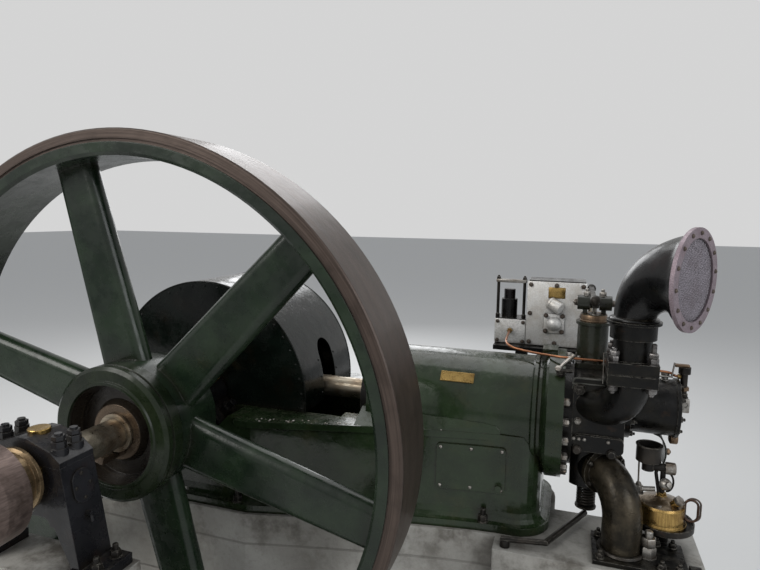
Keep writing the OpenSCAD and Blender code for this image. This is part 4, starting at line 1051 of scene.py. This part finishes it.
add(flange_nuts, nickel)
add(head_nuts, dark)
add(head_rims, edge_iron)
add(head_fasteners, nickel)
add(intake_bolts, stud_steel)
add(horn_shell, black, sharp=50, stands_for="intake_horn")
add(mouth_screws, rusty)
add(gauze_wires, gauze_metal, sharp=80, stands_for="mouth_gauze")
add(gauze_back, gauze_back_look())
add(valve_nuts, nickel)
add(valve_cap_nut, bronze)
add(vaporiser_nuts, dark)
add(tap_foot, nickel)
add(vaporiser_plug, bronze)
add(flame_shield, edge_iron)
add(tap_handle, bronze)
add(vent_valve, nickel)
add(fuel_line, copper, sharp=60, stands_for="fuel_pipe")
add(pipe_unions, brass)
add(lamp_beads, brass)
add(lamp_steel_bits, nickel)
add(burner_fittings, dark)
add(second_loop, rusty)
add(plate_nuts, nickel)
add(exhaust_bolts, dark)
add(exhaust_coil, dark, sharp=50, stands_for="exhaust_spring")
add(cover_plates, aluminium, sharp=40, stands_for="pump_covers")
add(governor_bar, nickel)
add(governor_posts, dark)
add(cover_screws, rusty)
add(cover_plate_brass, brass)
add(cock_lever, nickel)
add(plate_border, brass)
add(door_screws, nickel)
add(foundation_bolts, dark)
add(guard_rivets, guard_green)
add(pedestal_bolts, dark)
add(pedestal_lid, brass)
add(bearing_cups, brass)
add(grease_specks, nickel)
add(side_bolts, dark)
add(shaft_end, bright, body=CRANK)
add(collar_screws, nickel, body=CRANK)


def camera():
    """The photograph's viewpoint, solved from the wheel's circles."""
    place, lens, sensor = (1.4209, -2.2256, 1.8306), 27.217, 36
    yaw, pitch, roll = (math.radians(a) for a in (18.466, 7.101, 0.699))
    ahead = Vector((-math.sin(yaw) * math.cos(pitch), math.cos(yaw) * math.cos(pitch), -math.sin(pitch)))
    right = Vector((math.cos(yaw), math.sin(yaw), 0))
    up = right.cross(ahead)
    right, up = right * math.cos(roll) + up * math.sin(roll), up * math.cos(roll) - right * math.sin(roll)
    data = bpy.data.cameras.new("camera")
    data.sensor_fit = "HORIZONTAL"
    data.sensor_width = sensor
    data.lens = lens
    made = linked("camera", data)
    made.matrix_world = Matrix.Translation(place) @ Matrix((right, up, -ahead)).transposed().to_4x4()
    bpy.context.scene.camera = made


def shown_ray(tree):
    """1 for rays that show the background: straight, mirrored or through glass."""
    path = tree.nodes.new("ShaderNodeLightPath")
    total = path.outputs["Is Camera Ray"]
    for name in ("Is Glossy Ray", "Is Transmission Ray"):
        add_ray = tree.nodes.new("ShaderNodeMath")
        add_ray.operation = "ADD"
        add_ray.use_clamp = True
        tree.links.new(total, add_ray.inputs[0])
        tree.links.new(path.outputs[name], add_ray.inputs[1])
        total = add_ray.outputs[0]
    return total


def soft_world():
    """A soft bluish fill on the object, and a pale grey where the background shows."""
    world = bpy.data.worlds.new("studio")
    bpy.context.scene.world = world
    world.use_nodes = True
    tree = world.node_tree
    fill = tree.nodes["Background"]
    fill.inputs["Color"].default_value = (0.93, 0.96, 1.0, 1)
    fill.inputs["Strength"].default_value = 0.42
    back = tree.nodes.new("ShaderNodeBackground")
    back.inputs["Color"].default_value = (0.66, 0.66, 0.66, 1)
    pick = tree.nodes.new("ShaderNodeMixShader")
    for i, output in enumerate((shown_ray(tree), fill.outputs[0], back.outputs[0])):
        tree.links.new(output, pick.inputs[i])
    tree.links.new(pick.outputs[0], tree.nodes["World Output"].inputs[0])


def pale_floor():
    """A large pale floor at the height of the concrete's foot."""
    mesh = bpy.data.meshes.new("floor")
    reach = 40
    outline = [(-reach, -reach, 0), (reach, -reach, 0), (reach, reach, 0), (-reach, reach, 0)]
    mesh.from_pydata(outline, [], [(0, 1, 2, 3)])
    floor = linked("floor", mesh)
    look = Look("floor_finish", roughness=0.9, specular=0.1)
    mesh.materials.append(look.finish((0.72, 0.72, 0.71)))


def light(name, place, size, power, colour):
    """A large square lamp that looks at the middle of the engine."""
    data = bpy.data.lights.new(name, "AREA")
    data.size = size
    data.energy = power
    data.color = colour
    made = linked(name, data)
    made.location = place
    aim = Vector((0.3, -0.2, 0.9)) - Vector(place)
    made.rotation_euler = aim.to_track_quat("-Z", "Y").to_euler()


camera()
soft_world()
pale_floor()
light("key", (-2.6, -4.2, 4.6), 3.2, 200, (1.0, 0.98, 0.95))
light("fill", (4.6, -3.0, 3.2), 3.0, 80, (0.94, 0.97, 1.0))
light("top", (0.6, 1.4, 5.2), 3.4, 70, (1.0, 1.0, 1.0))
light("back", (-1.5, 5.0, 3.6), 3.0, 90, (0.97, 0.98, 1.0))
bpy.context.scene.view_settings.view_transform = "Standard"
bpy.context.view_layer.update()
